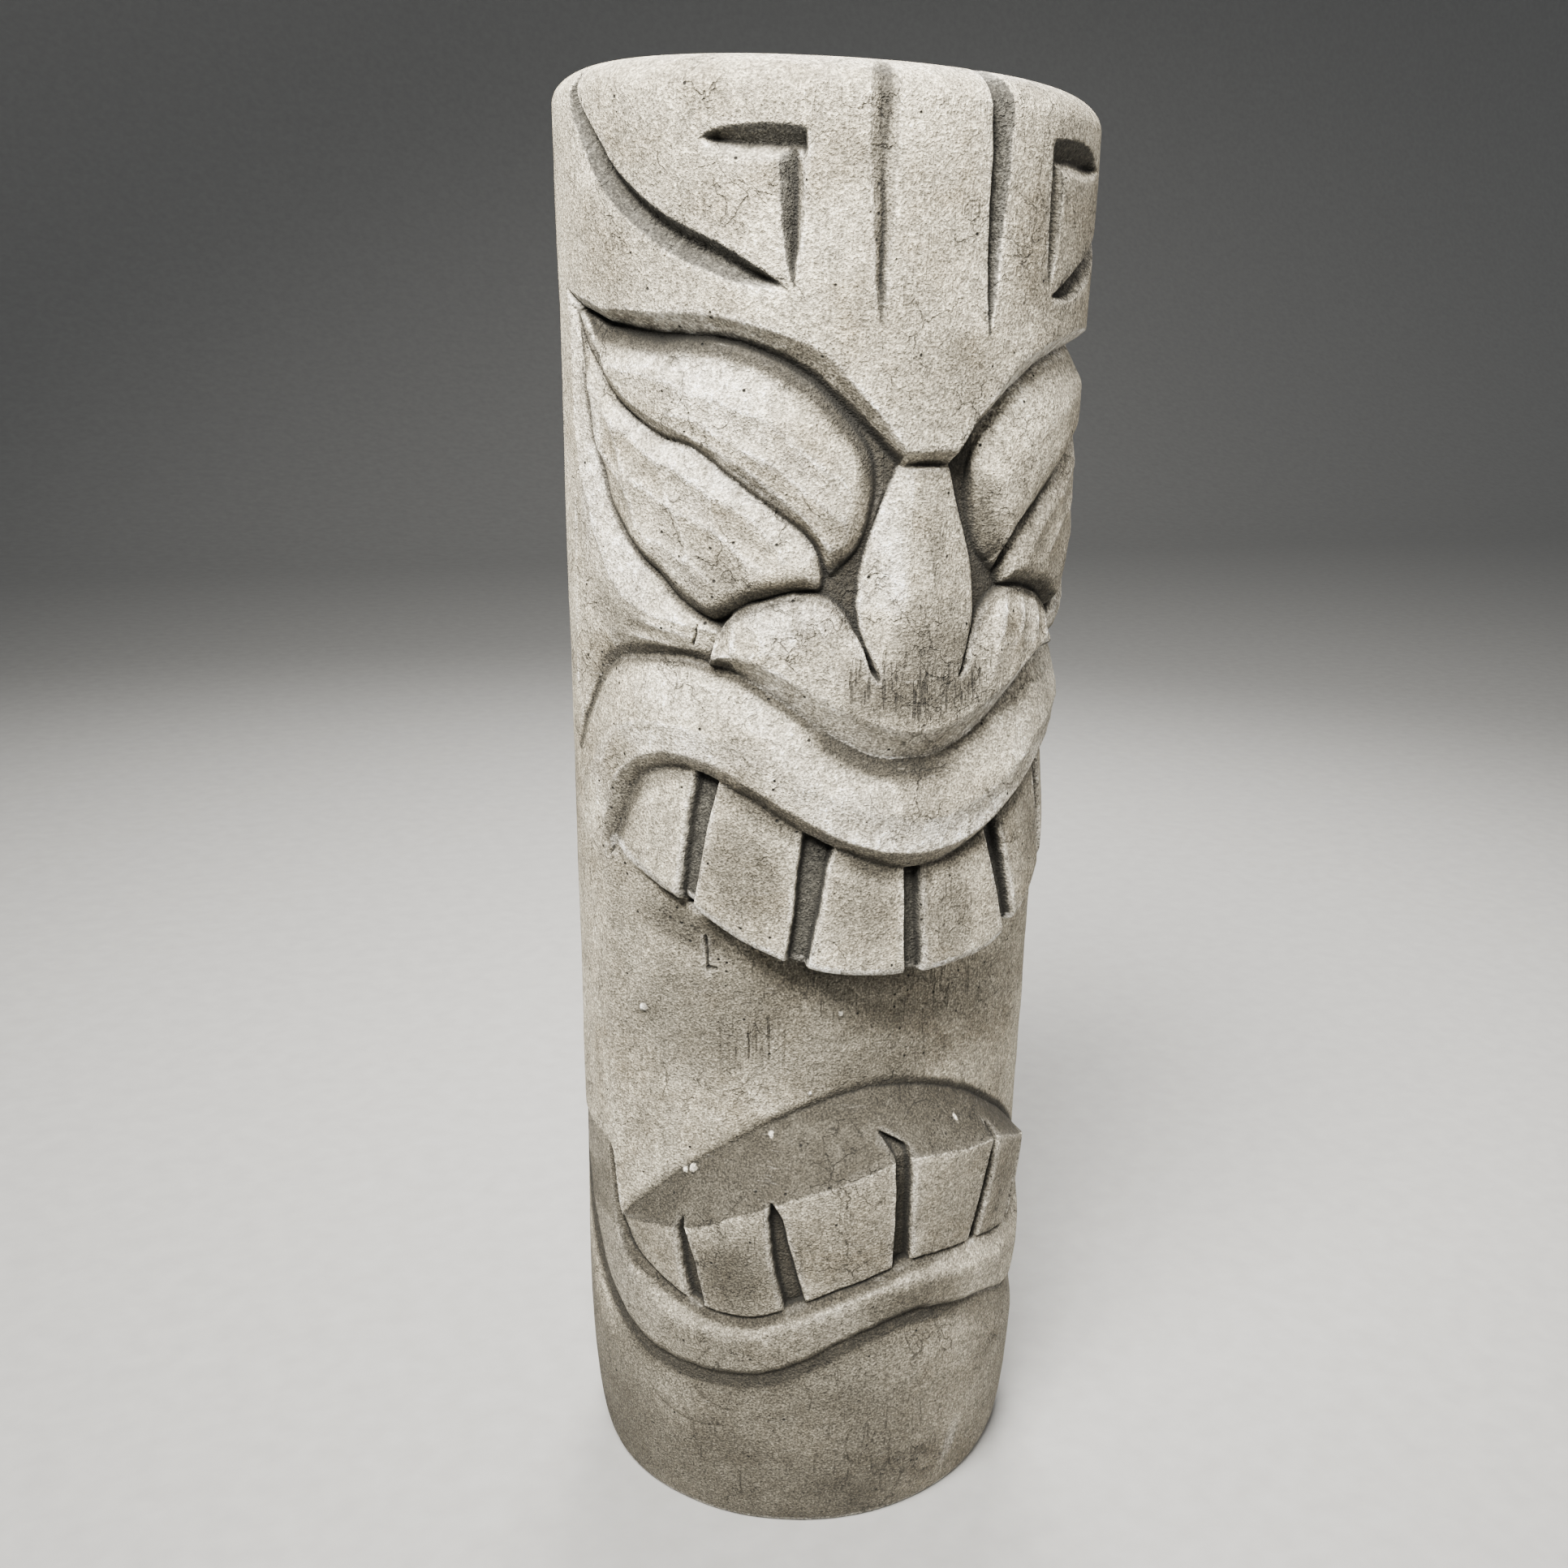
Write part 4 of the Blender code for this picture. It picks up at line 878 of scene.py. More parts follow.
def cut_forehead(depth):
    crescents = [(on_side(CRESCENT_UPPER, side), on_side(CRESCENT_LOWER, side), SHARP_CUT, CRESCENT_DEPTH,
                  *washes) for side, *washes in CRESCENT_WASHES]
    cuts = [(flat(first), flat(second), *rest) for first, second, *rest in FOREHEAD_CUTS]
    for first, second, profile, cut, first_wash, second_wash in cuts + crescents:
        groove, wash_and_shade = np.zeros(SHAPE), np.zeros(SHAPE)
        strip(groove, first, second, v_cut(profile, cut))
        valley = max(profile, key=lambda point: point[1])[0]
        walls = [(0, first_wash), (valley, first_wash), (valley + 0.08, second_wash), (1, second_wash)]
        strip(wash_and_shade, first, second, lambda u, *_: section(u, walls))
        lay(depth, groove)
        lay(SLATED_AND_SHADED, wash_and_shade)
    score(depth, [(-25.2, 668, 0), (-24.6, 640, 0), (-24, 606, 0)], 0.9, 1.2, 14)
    score(depth, [(-59.6, 668, 0), (-60, 640, 0), (-60, 620, 0)], 0.9, 0.8, 6)


def cut_forms():
    """The larger forms, and how deep the mouth is all over, both without the finer marks."""
    depth = np.zeros(SHAPE)
    for side in (-1, 1):
        cut_socket(depth, side)
        cut_cheek_hollow(depth, side)
    cut_brow_notch(depth)
    hollow = cut_mouth(depth)
    cut_nose(depth)
    cut_upper_lip(depth)
    cut_upper_teeth(depth, hollow)
    cut_lower_teeth(depth, hollow)
    cut_lower_lip(depth)
    cut_chin(depth)
    cut_forehead(depth)
    return depth


# ---------------------------------------------------------------------------- finer marks and masks

def cut_small_marks(depth):
    """Cracks, nicks, gouges and beads, each in its own place."""
    crack_crescent(depth)
    for line, half, cut in NICKS:
        score(depth, flat(line), half, cut)
    for line in CHIN_CRACKS:
        score(depth, flat(line), 0.9, 0.45, 8)
    for s, z, half in CAST_BUBBLES:
        raise_bead(depth, s, z, half)
    rng = np.random.default_rng(5)
    for s in GOUGES:
        top, low = rng.uniform(284, 294), rng.uniform(250, 262)
        line = flat([(s, top), (s + rng.uniform(-1, 1), low)])
        score(depth, line, 1.25, rng.uniform(0.3, 0.7), 10)


def crack_crescent(depth):
    """Short cracks across the lower wall of the left crescent."""
    upper, lower = curve(on_side(CRESCENT_UPPER, -1)), curve(on_side(CRESCENT_LOWER, -1))
    for s in CRESCENT_CRACKS:
        top = np.interp(s, upper[:, 0], upper[:, 1])
        low = np.interp(s, lower[:, 0], lower[:, 1])
        line = [(s + 2, low + 0.65 * (top - low)), (s, low + 0.3 * (top - low)), (s - 3, low - 1)]
        score(depth, flat(line), 0.9, 0.7)


def raise_bead(depth, s, z, half):
    """A small pale bead, a little flatter than a ball, with none of the wash on it."""
    place = window([(s, z)], half + WARP_REACH)
    away = np.hypot(GRID_S[place] - s, GRID_Z[place] - z) / half
    depth[place] -= 0.9 * half * np.sqrt(np.clip(1 - away**2, 0, None))
    PALED_AND_LIT[place] = np.maximum(PALED_AND_LIT[place], 0.8 * (away < 1))
    BROWNED_AND_SHADED[place] *= away >= 1


def roughen(depth, pitted, grain):
    """Lays the unevenness of a hand-carved, cast surface over the forms."""
    depth += 0.34 * waves(46, 101) + 0.2 * waves(19, 102, 1.6) + 0.09 * waves(8, 103)
    depth += (0.02 + 0.18 * pitted) * waves(3.2, 104)
    depth += 0.5 * pitted * np.clip(waves(2.6, 106) + 0.2, 0, 1)
    fibres, bundles = np.clip(waves(1.5, 107, 6) - 0.3, 0, 1), np.clip(waves(9, 108, 1.2) + 0.5, 0, 1)
    depth += 0.4 * grain * fibres * bundles


def carve():
    """The whole relief as depths on the grid, with the masks that the finish follows."""
    forms = blurred(cut_forms(), SPACING, 1)
    cut_small_marks(forms)
    pitted, grain = patches(PITTED), patches(GRAINED, 0.6)
    depth = forms + SKIN
    roughen(depth, pitted, grain)
    masks = wash_and_shade_masks(forms, depth)
    masks.update(slate=SLATED_AND_SHADED, pitted=pitted, grain=grain)
    return depth, {name: np.clip(field, 0, 1) for name, field in masks.items()}


def wash_and_shade_masks(forms, depth):
    """Where the wash and painted shade lie dark in crevices and hollows and on faces turned down, where they
    lie thin, and where the stone is worn pale, with painted light on faces turned up. fine, broad and wide
    are how far a place lies below its near, middle and far surroundings."""
    softened = blurred(forms, 0.6)
    rise, turn = np.gradient(softened, ROW_Z, COLUMN_S)
    facing_down = ramp(-rise, 0.22, 0.62)
    steep = ramp(np.hypot(rise, turn), 0.75, 1.45)
    fine, broad, wide = (depth - blurred(depth, reach) for reach in (0.6, 2.4, 6))
    ridges = ramp(blurred(TOOLED, 1.0) - TOOLED, 0.1, 0.3)
    toned = blurred(TONED, SPACING, 1)
    stain, rubbed_and_lit = patches(STAINS_AND_SHADE), patches(RUBBED_AND_LIT)
    # Less of the painted shade is left under the right brow.
    under_right_brow = ramp(GRID_S, 22, 30) * ramp(GRID_Z, 545, 553) * ramp(GRID_Z, 615, 607)
    socket = socket_shade(softened) * (1 - 0.9 * under_right_brow)
    # crevice: dark wash and painted shade in creases, on the deep floor of the sockets and in the upper
    # gaps.
    crevice_wash_and_shade = ramp(fine, 0.08, 0.68) + 0.4 * ramp(broad, 0.8, 2.2) + 0.65 * socket
    crevice_wash_and_shade = crevice_wash_and_shade + 0.45 * ramp(BROWNED_AND_SHADED, 0.86, 0.96) + 0.3 * SLATED_AND_SHADED * ramp(GRID_Z, 430, 425)
    # wash: brown wash, with painted shade in hollows, on faces turned down and on steep walls.
    wash_and_shade = 0.8 * np.clip(broad / 1.5, 0, 1) + 0.25 * np.clip(wide / 3.5, 0, 1) + 0.12 * facing_down
    wash_and_shade = wash_and_shade + 0.08 * steep + 0.4 * np.clip(toned, 0, 1) + stain + BROWNED_AND_SHADED + SLATED_AND_SHADED + socket
    dulled = np.clip(1.2 * (stain + BROWNED_AND_SHADED) + 0.5 * facing_down + SLATED_AND_SHADED + socket, 0, 1)
    edges = 0.42 * ramp(-fine, 0.05, 0.35) * (1 - 0.7 * dulled)
    # crests: pale ridges between scoops, and a painted highlight on faces turned up.
    crests = 0.1 * np.clip(-broad / 1.2, 0, 1) + 0.6 * ridges + 0.4 * np.clip(-toned, 0, 1)
    crests = (crests + 0.3 * smooth(rise)) * (1 - dulled)
    rubbed_and_lit = (0.5 * rubbed_and_lit + PALED_AND_LIT) * (1 - 0.85 * ramp(BROWNED_AND_SHADED, 0.5, 0.85))
    worn_and_lit = edges + crests + rubbed_and_lit + 0.5 * ramp(GRID_Z, 3.5, 1.5)
    wash_and_shade_kept = 1 - 0.6 * under_right_brow
    return {"crevice_wash_and_shade": crevice_wash_and_shade * wash_and_shade_kept, "wash_and_shade": wash_and_shade * wash_and_shade_kept, "worn_and_lit": worn_and_lit}


def socket_shade(softened):
    """Painted shade on the deep floor of both sockets, beside the nose and above its tip."""
    beside_nose = ramp(np.abs(CUT_S) - nose_half_width(), -1.5, 0)
    return ramp(softened, 6.5, 9) * ramp(GRID_Z, 464, 472) * beside_nose


# ---------------------------------------------------------------------------- the mesh

def post_radius(z):
    """The radius of the uncarved post, with its rounded top rim and its drawn-in foot."""
    into_foot = np.clip(1 - z / FOOT_HEIGHT, 0, 1)
    into_rim = np.clip(1 - (HEIGHT - z) / RIM_HEIGHT, 0, 1)
    foot = FOOT_INSET * (1 - np.sqrt(1 - into_foot**2))
    rim = RIM_INSET * (1 - np.sqrt(1 - into_rim**2))
    return RADIUS - foot - rim


def post_points(depth):
    """Rows of points round the whole post, from the ground up over the rim and in over the top. The top is
    almost level, a little below the full height."""
    half = math.radians(CARVED_HALF_ANGLE)
    behind = np.linspace(half, 2 * math.pi - half, PLAIN_COLUMNS + 2)[1:-1]
    angles = np.concatenate([COLUMN_S / RADIUS, behind])
    back = np.stack([np.interp(behind, [half, 2 * math.pi - half], ends) for ends in depth[:, [-1, 0]]])
    ripples = plain_back_marks(behind) * np.sin((behind - half) / (2 * math.pi - 2 * half) * math.pi)
    depth = np.hstack([depth, back + ripples])
    radius = post_radius(np.clip(ROW_Z, 0, HEIGHT))[:, None] - depth
    height = np.repeat(np.minimum(ROW_Z, HEIGHT - TOP_DIP)[:, None], len(angles), axis=1)
    rng = np.random.default_rng(9)
    inward = np.linspace(1, 0, TOP_RINGS + 1)[1:-1, None]
    top = radius[-1] * inward
    uneven = 0.4 + 0.2 * np.sin(top * np.sin(angles) / 9 + 1) * np.sin(top * np.cos(angles) / 13)
    uneven += rng.uniform(-0.06, 0.06, top.shape)
    radius, height = np.vstack([radius, top]), np.vstack([height, HEIGHT - uneven])
    height[ROW_Z.size - 1] = HEIGHT - TOP_DIP
    return np.stack([radius * np.sin(angles), -radius * np.cos(angles), height], axis=-1) * MM


def plain_back_marks(behind):
    """The back is plainer: long shallow upright scoops, as a drawknife leaves."""
    rng = np.random.default_rng(7)
    s = behind * RADIUS
    marks = np.zeros((len(ROW_Z), len(s)))
    for middle in np.arange(s[0], s[-1], BACK_SCOOP_STEP):
        lean = rng.uniform(-4, 4) * np.sin(ROW_Z / rng.uniform(90, 160) + rng.uniform(0, 6))[:, None]
        across = (s - middle - lean) / BACK_SCOOP_HALF
        lay(marks, rng.uniform(0.3, 0.7) * np.clip(1 - across**2, 0, None))
    return marks


def closed_mesh(points):
    """A closed mesh on rows of points, with one point in the middle of each end."""
    row_count, round_count = points.shape[:2]
    column, row = np.meshgrid(np.arange(round_count), np.arange(row_count - 1))
    beside = (column + 1) % round_count
    low, high = row * round_count, (row + 1) * round_count
    quads = np.stack([low + column, low + beside, high + beside, high + column], axis=-1).reshape(-1, 4)
    first = np.arange(round_count)
    after = (first + 1) % round_count
    last = (row_count - 1) * round_count
    under, over = row_count * round_count, row_count * round_count + 1
    ends = np.vstack([np.stack([first, np.full(round_count, under), after], axis=1),
                      np.stack([last + first, last + after, np.full(round_count, over)], axis=1)])
    middle = [[0, 0, points[0, 0, 2]], [0, 0, points[-1, :, 2].mean()]]
    corners = np.vstack([points.reshape(-1, 3), middle])
    mesh = bpy.data.meshes.new("carved_post")
    mesh.from_pydata(corners.tolist(), [], quads.tolist() + ends.tolist())
    return mesh


def thinned(mesh, contrast):
    """The mesh with fewer faces. They stay close where the carving turns sharply or the finish changes."""
    thing = bpy.data.objects.new("thinning", mesh)
    bpy.context.scene.collection.objects.link(thing)
    group = thing.vertex_groups.new(name="contrast")
    steps = np.round(contrast * CONTRAST_STEPS).astype(int)
    for step in range(1, CONTRAST_STEPS + 1):
        group.add(np.flatnonzero(steps == step).tolist(), 0.9 * step / CONTRAST_STEPS, "REPLACE")
    mesh.calc_loop_triangles()
    fewer = thing.modifiers.new("fewer", "DECIMATE")
    fewer.ratio = MOST_TRIANGLES / len(mesh.loop_triangles)
    fewer.use_collapse_triangulate = True
    fewer.vertex_group, fewer.invert_vertex_group = group.name, True
    fewer.vertex_group_factor = CONTRAST_WEIGHT
    bpy.context.view_layer.update()
    done = bpy.data.meshes.new_from_object(thing.evaluated_get(bpy.context.evaluated_depsgraph_get()))
    bpy.data.objects.remove(thing, do_unlink=True)
    return done


def cut_flat_underneath(mesh):
    """Cuts off what is below the ground and closes the cut with one flat face."""
    bm = bmesh.new()
    bm.from_mesh(mesh)
    cut = bmesh.ops.bisect_plane(bm, geom=bm.verts[:] + bm.edges[:] + bm.faces[:], dist=1e-6,
                                 plane_co=(0, 0, 0), plane_no=(0, 0, 1), clear_inner=True)
    rim = [part for part in cut["geom_cut"] if isinstance(part, bmesh.types.BMEdge)]
    bmesh.ops.contextual_create(bm, geom=rim)
    bmesh.ops.triangulate(bm, faces=bm.faces[:])
    bmesh.ops.recalc_face_normals(bm, faces=bm.faces[:])
    for corner in bm.verts:
        corner.co.z = max(corner.co.z, 0)
    bm.to_mesh(mesh)
    bm.free()


def finish_contrast(masks, count):
    """How sharply the finish changes at each of the mesh's points: 0 to 1. The plain back has none."""
    tone = masks["wash_and_shade"] + masks["crevice_wash_and_shade"] + masks["slate"] - masks["worn_and_lit"]
    change = smooth(0.15 + np.hypot(*np.gradient(tone, ROW_Z, COLUMN_S)) / 0.3)
    contrast = np.zeros(count)
    round_count = len(COLUMN_S) + PLAIN_COLUMNS
    rows = contrast[:len(ROW_Z) * round_count].reshape(len(ROW_Z), round_count)
    rows[:, :len(COLUMN_S)] = change
    return contrast


def mark_finish(mesh, masks):
    """Stores each mask on the mesh, read from the grid at each point's own place. The back takes up what the
    edges of the grid have, and the flat of the top has none."""
    places = np.empty(len(mesh.vertices) * 3, np.float32)
    mesh.vertices.foreach_get("co", places)
    x, y, z = (places.reshape(-1, 3).astype(float) / MM).T
    s = np.arctan2(x, -y) * RADIUS
    column = np.interp(s, COLUMN_S, np.arange(len(COLUMN_S)))
    row = np.interp(z, ROW_Z, np.arange(len(ROW_Z)))
    c, r = np.minimum(column.astype(int), SHAPE[1] - 2), np.minimum(row.astype(int), SHAPE[0] - 2)
    f, g = column - c, row - r
    behind = np.clip((np.abs(s) - HALF_ARC) / BACK_FADE, 0, 1)
    on_top = (z > HEIGHT - 2) & (np.hypot(x, y) < RADIUS - RIM_INSET - 6)
    for name, field in masks.items():
        value = ((1 - f) * ((1 - g) * field[r, c] + g * field[r + 1, c])
                 + f * ((1 - g) * field[r, c + 1] + g * field[r + 1, c + 1]))
        edges = blurred(field[:, [0, 0, -1, -1]], 6).mean(axis=1)
        value = value * (1 - behind) + np.interp(z, ROW_Z, edges) * behind
        mark = mesh.attributes.new(name, "FLOAT", "POINT")
        mark.data.foreach_set("value", np.where(on_top, 0, value).astype(np.float32))


def totem_mesh():
    depth, masks = carve()
    mesh = closed_mesh(post_points(depth))
    mesh = thinned(mesh, finish_contrast(masks, len(mesh.vertices)))
    cut_flat_underneath(mesh)
    mark_finish(mesh, masks)
    mesh.shade_smooth()
    return mesh


# ---------------------------------------------------------------------------- the finish

class Nodes:
    """A short way to place and join nodes in one tree."""

    def __init__(self, tree):
        self.tree = tree

    def add(self, kind, inputs=None, **settings):
        node = self.tree.nodes.new(kind)
        for name, value in settings.items():
            setattr(node, name, value)
        for key, value in (inputs or {}).items():
            self.feed(node.inputs[key], value)
        return node

    def feed(self, socket, value):
        if isinstance(value, bpy.types.NodeSocket):
            self.tree.links.new(value, socket)
        else:
            socket.default_value = value

    def math(self, operation, a, b=0.0, clamp=False):
        node = self.add("ShaderNodeMath", {0: a, 1: b}, operation=operation, use_clamp=clamp)
        return node.outputs[0]

    def times(self, a, b, clamp=False):
        return self.math("MULTIPLY", a, b, clamp)

    def total(self, *parts):
        """The sum of (value, weight) pairs."""
        whole = self.times(*parts[0])
        for value, weight in parts[1:]:
            whole = self.math("ADD", whole, self.times(value, weight))
        return whole

    def layered(self, colour, *layers):
        """A colour under layers of others, each a (mask, colour) pair."""
        for mask, layer in layers:
            colour = self.mixed(mask, colour, layer)
        return colour

    def ranged(self, value, low, high, to_low=0.0, to_high=1.0):
        node = self.add("ShaderNodeMapRange", {"Value": value, "From Min": low, "From Max": high,
                                               "To Min": to_low, "To Max": to_high})
        return node.outputs["Result"]

    def mixed(self, share, first, second, blend="MIX"):
        node = self.add("ShaderNodeMix", data_type="RGBA", blend_type=blend, clamp_result=True)
        for key, value in ((0, share), (6, first), (7, second)):
            self.feed(node.inputs[key], value)
        return node.outputs[2]

    def noise(self, place, scale, detail=3.0, roughness=0.55, distortion=0.0):
        node = self.add("ShaderNodeTexNoise", {"Vector": place, "Scale": scale, "Detail": detail,
                                               "Roughness": roughness, "Distortion": distortion})
        return node.outputs["Fac"]

    def mark(self, name):
        return self.add("ShaderNodeAttribute", attribute_name=name).outputs["Fac"]


# The wash colours also paint shade, and the worn stone colour also paints light.
PALE_STONE = (0.52, 0.475, 0.368, 1)
WARM_STONE = (0.235, 0.205, 0.148, 1)
WORN_AND_LIT_STONE = (0.76, 0.725, 0.635, 1)
BROWN_WASH_AND_SHADE = (0.045, 0.040, 0.0295, 1)
SLATE_WASH_AND_SHADE = (0.051, 0.050, 0.043, 1)
DARK_WASH_AND_SHADE = (0.016, 0.015, 0.012, 1)


def new_material(name):
    """A new material, with its nodes, its shader and its Object coordinates."""
    material = bpy.data.materials.new(name)
    material.use_nodes = True
    nodes = Nodes(material.node_tree)
    place = nodes.add("ShaderNodeTexCoord").outputs["Object"]
    return material, nodes, material.node_tree.nodes["Principled BSDF"], place


def antiqued_cast_stone():
    """Pale cast stone under a brown wash, which stays in the creases, pits and grain and is rubbed off the
    edges. Shade is painted dark into creases and hollows, and light is painted pale onto faces turned to it."""
    material, nodes, shader, place = new_material("antiqued_cast_stone")
    upright = nodes.add("ShaderNodeMapping", {"Vector": place, "Scale": (1, 1, 0.1)}).outputs["Vector"]
    noises = SimpleNamespace(
        blotches=nodes.noise(place, 24, 8, 0.62, 0.5), mottle=nodes.noise(place, 85, 8, 0.7, 0.25),
        speckle=nodes.noise(place, 330, 4, 0.7), peel=nodes.noise(place, 950, 2, 0.6),
        streak=nodes.noise(upright, 560, 2, 0.5))
    marks = SimpleNamespace(holes=air_holes(nodes, place), hairlines=hairline_cracks(nodes, place),
                            grain=wood_grain(nodes, noises.streak))
    colour = washed_and_shaded_colour(nodes, place, noises)
    colour = nodes.mixed(1.0, colour, stone_speckle(nodes, noises), "MULTIPLY")
    # The dark wash colour marks grain, cracks and holes, and paints shade into the crevices.
    colour = nodes.layered(colour, (marks.grain, DARK_WASH_AND_SHADE), (nodes.times(marks.hairlines, 0.6), DARK_WASH_AND_SHADE),
                           (nodes.mark("crevice_wash_and_shade"), DARK_WASH_AND_SHADE), (marks.holes, DARK_WASH_AND_SHADE))
    nodes.feed(shader.inputs["Base Color"], colour)
    nodes.feed(shader.inputs["Roughness"], nodes.ranged(noises.speckle, 0.3, 0.7, 0.78, 0.95))
    shader.inputs["Specular IOR Level"].default_value = 0.3
    height = nodes.total((noises.speckle, 0.8), (noises.peel, 0.9), (noises.streak, 0.25),
                         (marks.hairlines, -0.5), (noises.mottle, 0.8), (marks.holes, -1.2),
                         (marks.grain, -0.9))
    bump = nodes.add("ShaderNodeBump", {"Height": height, "Strength": 1.0, "Distance": 0.0018})
    nodes.feed(shader.inputs["Normal"], bump.outputs["Normal"])
    return material


def air_holes(nodes, place):
    """Small round holes, few on the plain stone and many where it is pitted."""
    specks = nodes.add("ShaderNodeTexVoronoi", {"Vector": place, "Scale": 260.0, "Randomness": 1.0})
    chance = nodes.add("ShaderNodeSeparateColor", {"Color": specks.outputs["Color"]}).outputs["Red"]
    share = nodes.math("ADD", nodes.times(nodes.mark("pitted"), 0.5), 0.045)
    return nodes.times(nodes.ranged(specks.outputs["Distance"], 0.22, 0.12),
                       nodes.math("LESS_THAN", chance, share))


def hairline_cracks(nodes, place):
    """Parts of a wandering net of fine cracks."""
    noise = nodes.add("ShaderNodeTexNoise", {"Vector": place, "Scale": 70.0, "Detail": 4.0})
    wander = nodes.add("ShaderNodeVectorMath", {"Vector": noise.outputs["Color"], "Scale": 0.025},
                       operation="SCALE")
    wandered = nodes.add("ShaderNodeVectorMath", {0: place, 1: wander.outputs[0]}, operation="ADD")
    net = nodes.add("ShaderNodeTexVoronoi", {"Vector": wandered.outputs[0], "Scale": 48.0},
                    feature="DISTANCE_TO_EDGE")
    return nodes.times(nodes.ranged(net.outputs["Distance"], 0.022, 0.006),
                       nodes.ranged(nodes.noise(place, 30, 3), 0.5, 0.6))


def wood_grain(nodes, streak):
    """Dark upright fibres, which are closer where the cast shows the grain of its master."""
    mark = nodes.mark("grain")
    fibres = nodes.ranged(nodes.math("ADD", streak, nodes.times(mark, 0.08)), 0.63, 0.70)
    return nodes.times(fibres, nodes.math("ADD", nodes.times(mark, 0.5), 0.3), True)


def washed_and_shaded_colour(nodes, place, noises):
    """The blotched stone with its washes and painted shade, its scuffs, and the places worn pale and painted
    light.
    """
    level = nodes.add("ShaderNodeMapping", {"Vector": place, "Scale": (0.1, 0.1, 1)}).outputs["Vector"]
    scratch = nodes.noise(level, 900, 2, 0.6)
    stain = nodes.ranged(nodes.total((noises.blotches, 0.6), (noises.mottle, 0.4)), 0.42, 0.62)
    uneven = nodes.ranged(nodes.total((noises.mottle, 1.0), (noises.speckle, 0.8)), 0.7, 1.1, 0.8, 1.15)
    wash_and_shade = nodes.times(nodes.mark("wash_and_shade"), uneven, True)
    grime = nodes.times(nodes.mark("pitted"), nodes.ranged(noises.speckle, 0.45, 0.6), True)
    slate = nodes.times(nodes.mark("slate"), nodes.ranged(noises.mottle, 0.3, 0.65, 0.95, 0.6))
    scuffs = nodes.times(nodes.ranged(scratch, 0.60, 0.70), nodes.ranged(noises.blotches, 0.45, 0.6), True)
    worn_and_lit = nodes.times(nodes.mark("worn_and_lit"), nodes.ranged(noises.mottle, 0.36, 0.6, 0.2, 1.0), True)
    return nodes.layered(PALE_STONE, (stain, WARM_STONE), (wash_and_shade, BROWN_WASH_AND_SHADE),
                         (nodes.times(grime, 0.5), DARK_WASH_AND_SHADE), (slate, SLATE_WASH_AND_SHADE),
                         (nodes.times(scuffs, 0.12), WORN_AND_LIT_STONE), (worn_and_lit, WORN_AND_LIT_STONE))


def stone_speckle(nodes, noises):
    """The lighter and darker sand of the stone, as a grey that multiplies its colour."""
    tone = nodes.total((noises.speckle, 0.3), (noises.peel, 0.42), (noises.mottle, 0.22),
                       (noises.streak, 0.06))
    tone = nodes.math("POWER", 2.0, nodes.ranged(tone, 0.36, 0.64, -2.1, 1.9))
    return nodes.add("ShaderNodeCombineColor", {0: tone, 1: tone, 2: tone}).outputs[0]


def make_totem():
    mesh = totem_mesh()
    mesh.materials.clear()
    mesh.materials.append(antiqued_cast_stone())
    totem = bpy.data.objects.new("carved_totem", mesh)
    bpy.context.scene.collection.objects.link(totem)
    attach(totem, "root")
    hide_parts("tiki_totem")


# ---------------------------------------------------------------------------- floor, light and camera

CAMERA_PLACE = (-0.3002, -0.7361, 0.6149)
CAMERA_HEADING = 26.0
CAMERA_TILT = 21.26
CAMERA_ROLL = 2.653
CAMERA_LENS = 36.63
CAMERA_SHIFT = (-0.0811, 0.0850)

# The floor is flat up to FLOOR_FLAT behind the totem, and curves up there with the radius FLOOR_RISE.
FLOOR_HALF = 6.0
FLOOR_FLAT = 3.0
FLOOR_RISE = 2.0
FLOOR_STEPS = 16
FLOOR_GREY = (0.30, 0.30, 0.293, 1)
FLOOR_PALE = (0.335, 0.335, 0.328, 1)


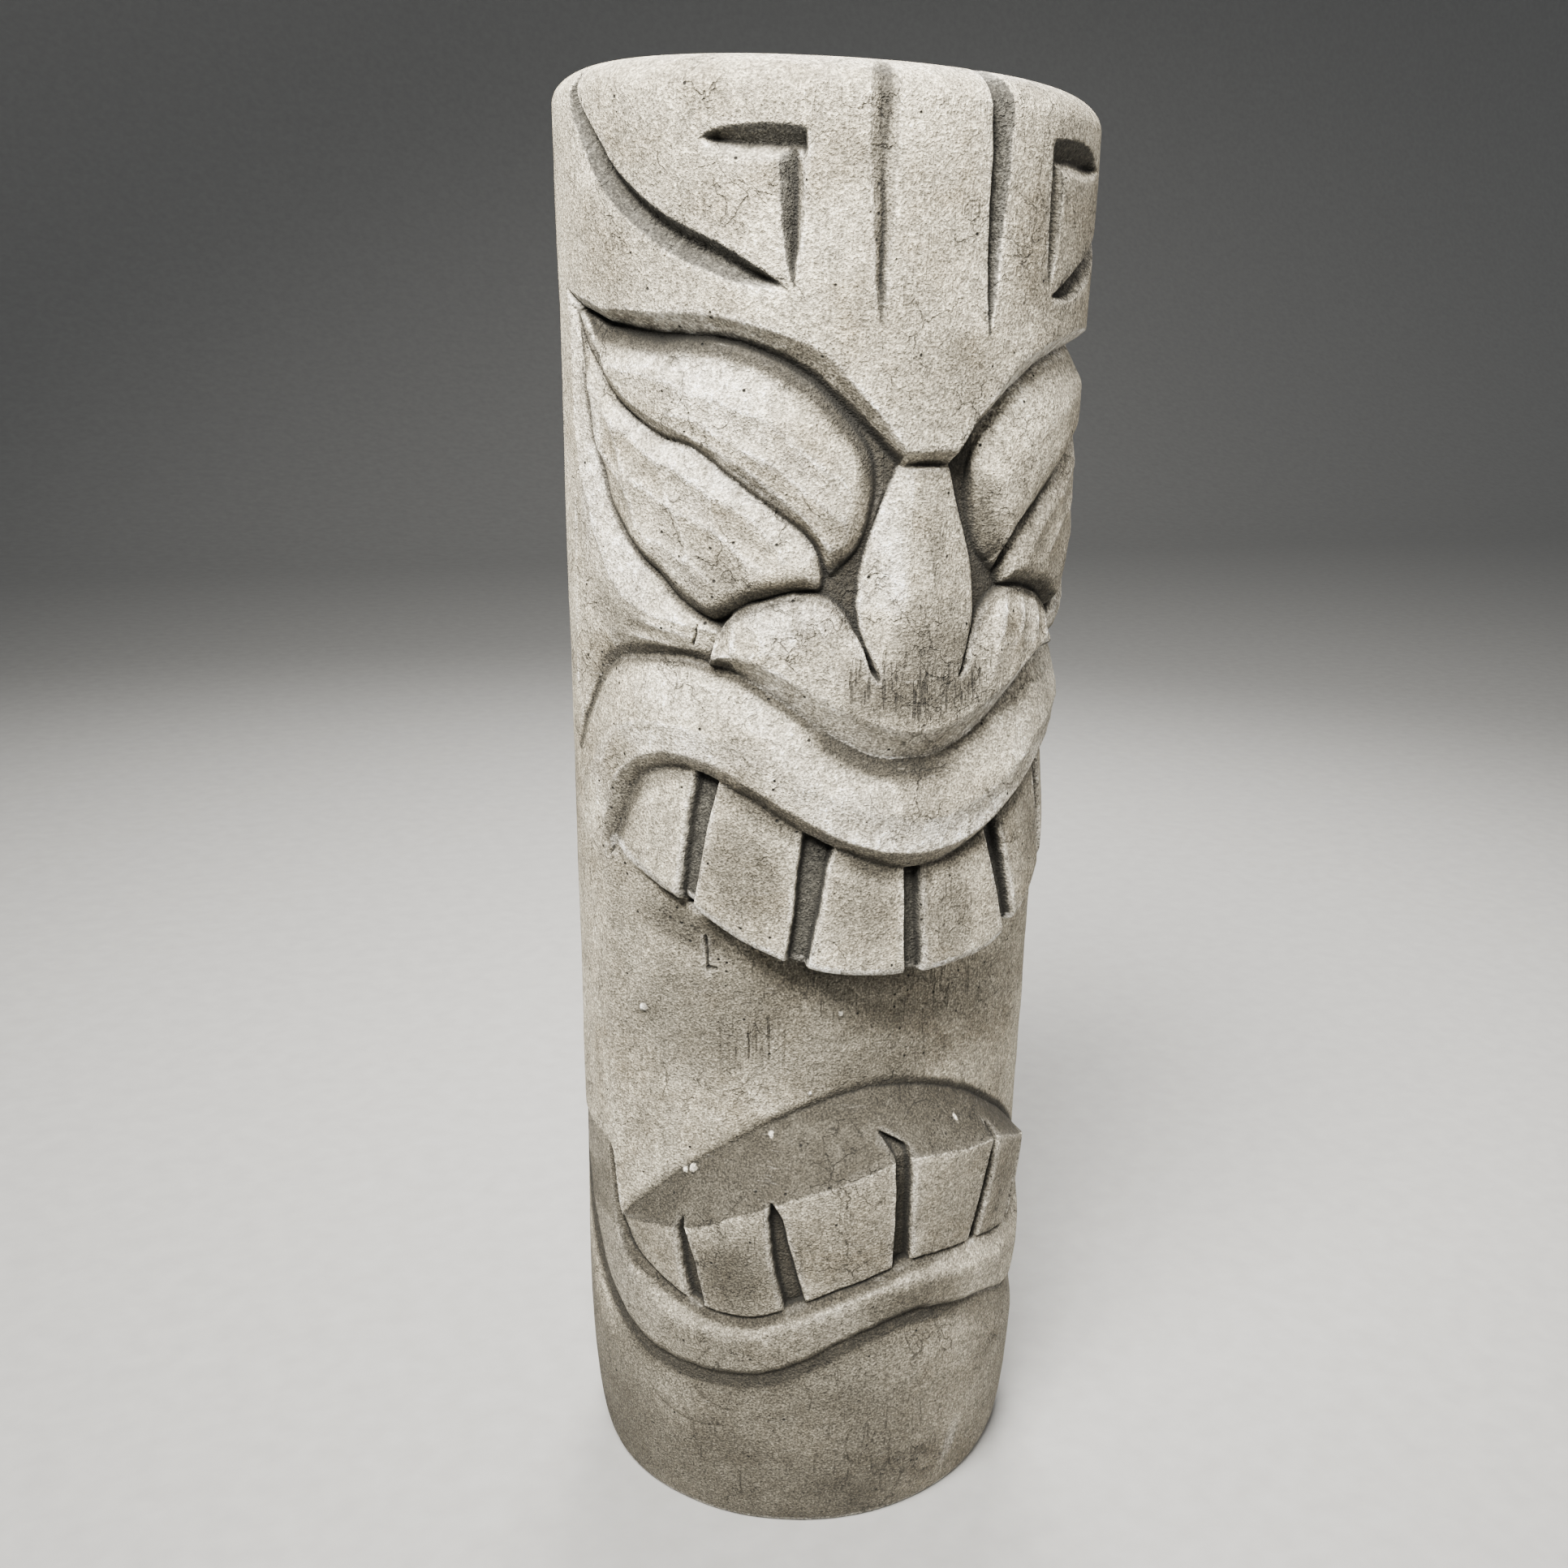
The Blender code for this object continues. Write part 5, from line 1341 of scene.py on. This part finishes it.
def make_floor():
    """A plain pale floor with a wide curved rise behind, well clear of the totem."""
    material, nodes, shader, place = new_material("pale_floor")
    tone = nodes.ranged(nodes.noise(place, 60, 3), 0.3, 0.7)
    nodes.feed(shader.inputs["Base Color"], nodes.mixed(tone, FLOOR_GREY, FLOOR_PALE))
    shader.inputs["Roughness"].default_value = 0.9
    profile = [(-FLOOR_HALF, 0.0)]
    for t in np.linspace(0, math.pi / 2, FLOOR_STEPS):
        profile.append((FLOOR_FLAT + FLOOR_RISE * math.sin(t), FLOOR_RISE * (1 - math.cos(t))))
    profile.append((FLOOR_FLAT + FLOOR_RISE, FLOOR_HALF))
    corners = [(x, y, z) for y, z in profile for x in (-FLOOR_HALF, FLOOR_HALF)]
    faces = [(2 * k, 2 * k + 1, 2 * k + 3, 2 * k + 2) for k in range(len(profile) - 1)]
    mesh = bpy.data.meshes.new("floor")
    mesh.from_pydata(corners, [], faces)
    mesh.materials.append(material)
    mesh.shade_smooth()
    floor = bpy.data.objects.new("floor", mesh)
    bpy.context.scene.collection.objects.link(floor)
    floor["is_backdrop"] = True


def area_light(name, place, target, size, power, colour, spread=180.0):
    light = bpy.data.lights.new(name, "AREA")
    light.shape = "DISK"
    light.size, light.energy, light.color = size, power, colour
    light.spread = math.radians(spread)
    lamp = bpy.data.objects.new(name, light)
    lamp.location = place
    lamp.rotation_euler = (Vector(target) - Vector(place)).to_track_quat("-Z", "Y").to_euler()
    bpy.context.scene.collection.objects.link(lamp)


def make_light():
    world = bpy.data.worlds.new("studio")
    world.use_nodes = True
    background = world.node_tree.nodes["Background"]
    background.inputs["Color"].default_value = (0.86, 0.88, 0.90, 1)
    background.inputs["Strength"].default_value = 0.285
    bpy.context.scene.world = world
    area_light("key", (-0.62, -0.66, 1.66), (0, 0, 0.84), size=0.9, power=48, colour=(1.0, 0.965, 0.91),
               spread=90)
    area_light("fill", (1.6, -1.2, 0.9), (0, 0, 0.35), size=1.4, power=15.5, colour=(1.0, 0.94, 0.88))
    area_light("behind", (0.72, 1.75, 1.9), (0, 0, 0.4), size=1.2, power=42, colour=(1.0, 0.97, 0.93),
               spread=100)


def make_camera():
    camera = bpy.data.cameras.new("camera")
    camera.sensor_width = 36.0
    camera.lens = CAMERA_LENS
    camera.shift_x, camera.shift_y = CAMERA_SHIFT
    camera.clip_start, camera.clip_end = 0.05, 50
    view = bpy.data.objects.new("camera", camera)
    view.location = CAMERA_PLACE
    turned = Euler((math.radians(90 - CAMERA_TILT), 0, -math.radians(CAMERA_HEADING))).to_matrix()
    roll = Euler((0, 0, math.radians(CAMERA_ROLL))).to_matrix()
    view.rotation_euler = (turned @ roll).to_euler()
    bpy.context.scene.collection.objects.link(view)
    bpy.context.scene.camera = view


def write_size():
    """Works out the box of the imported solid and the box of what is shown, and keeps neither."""
    boxes = {"cad": CAD_BOX, "visual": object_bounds()}
    {name: [list(corner) for corner in box] for name, box in boxes.items()}


make_totem()
make_floor()
make_light()
make_camera()
write_size()
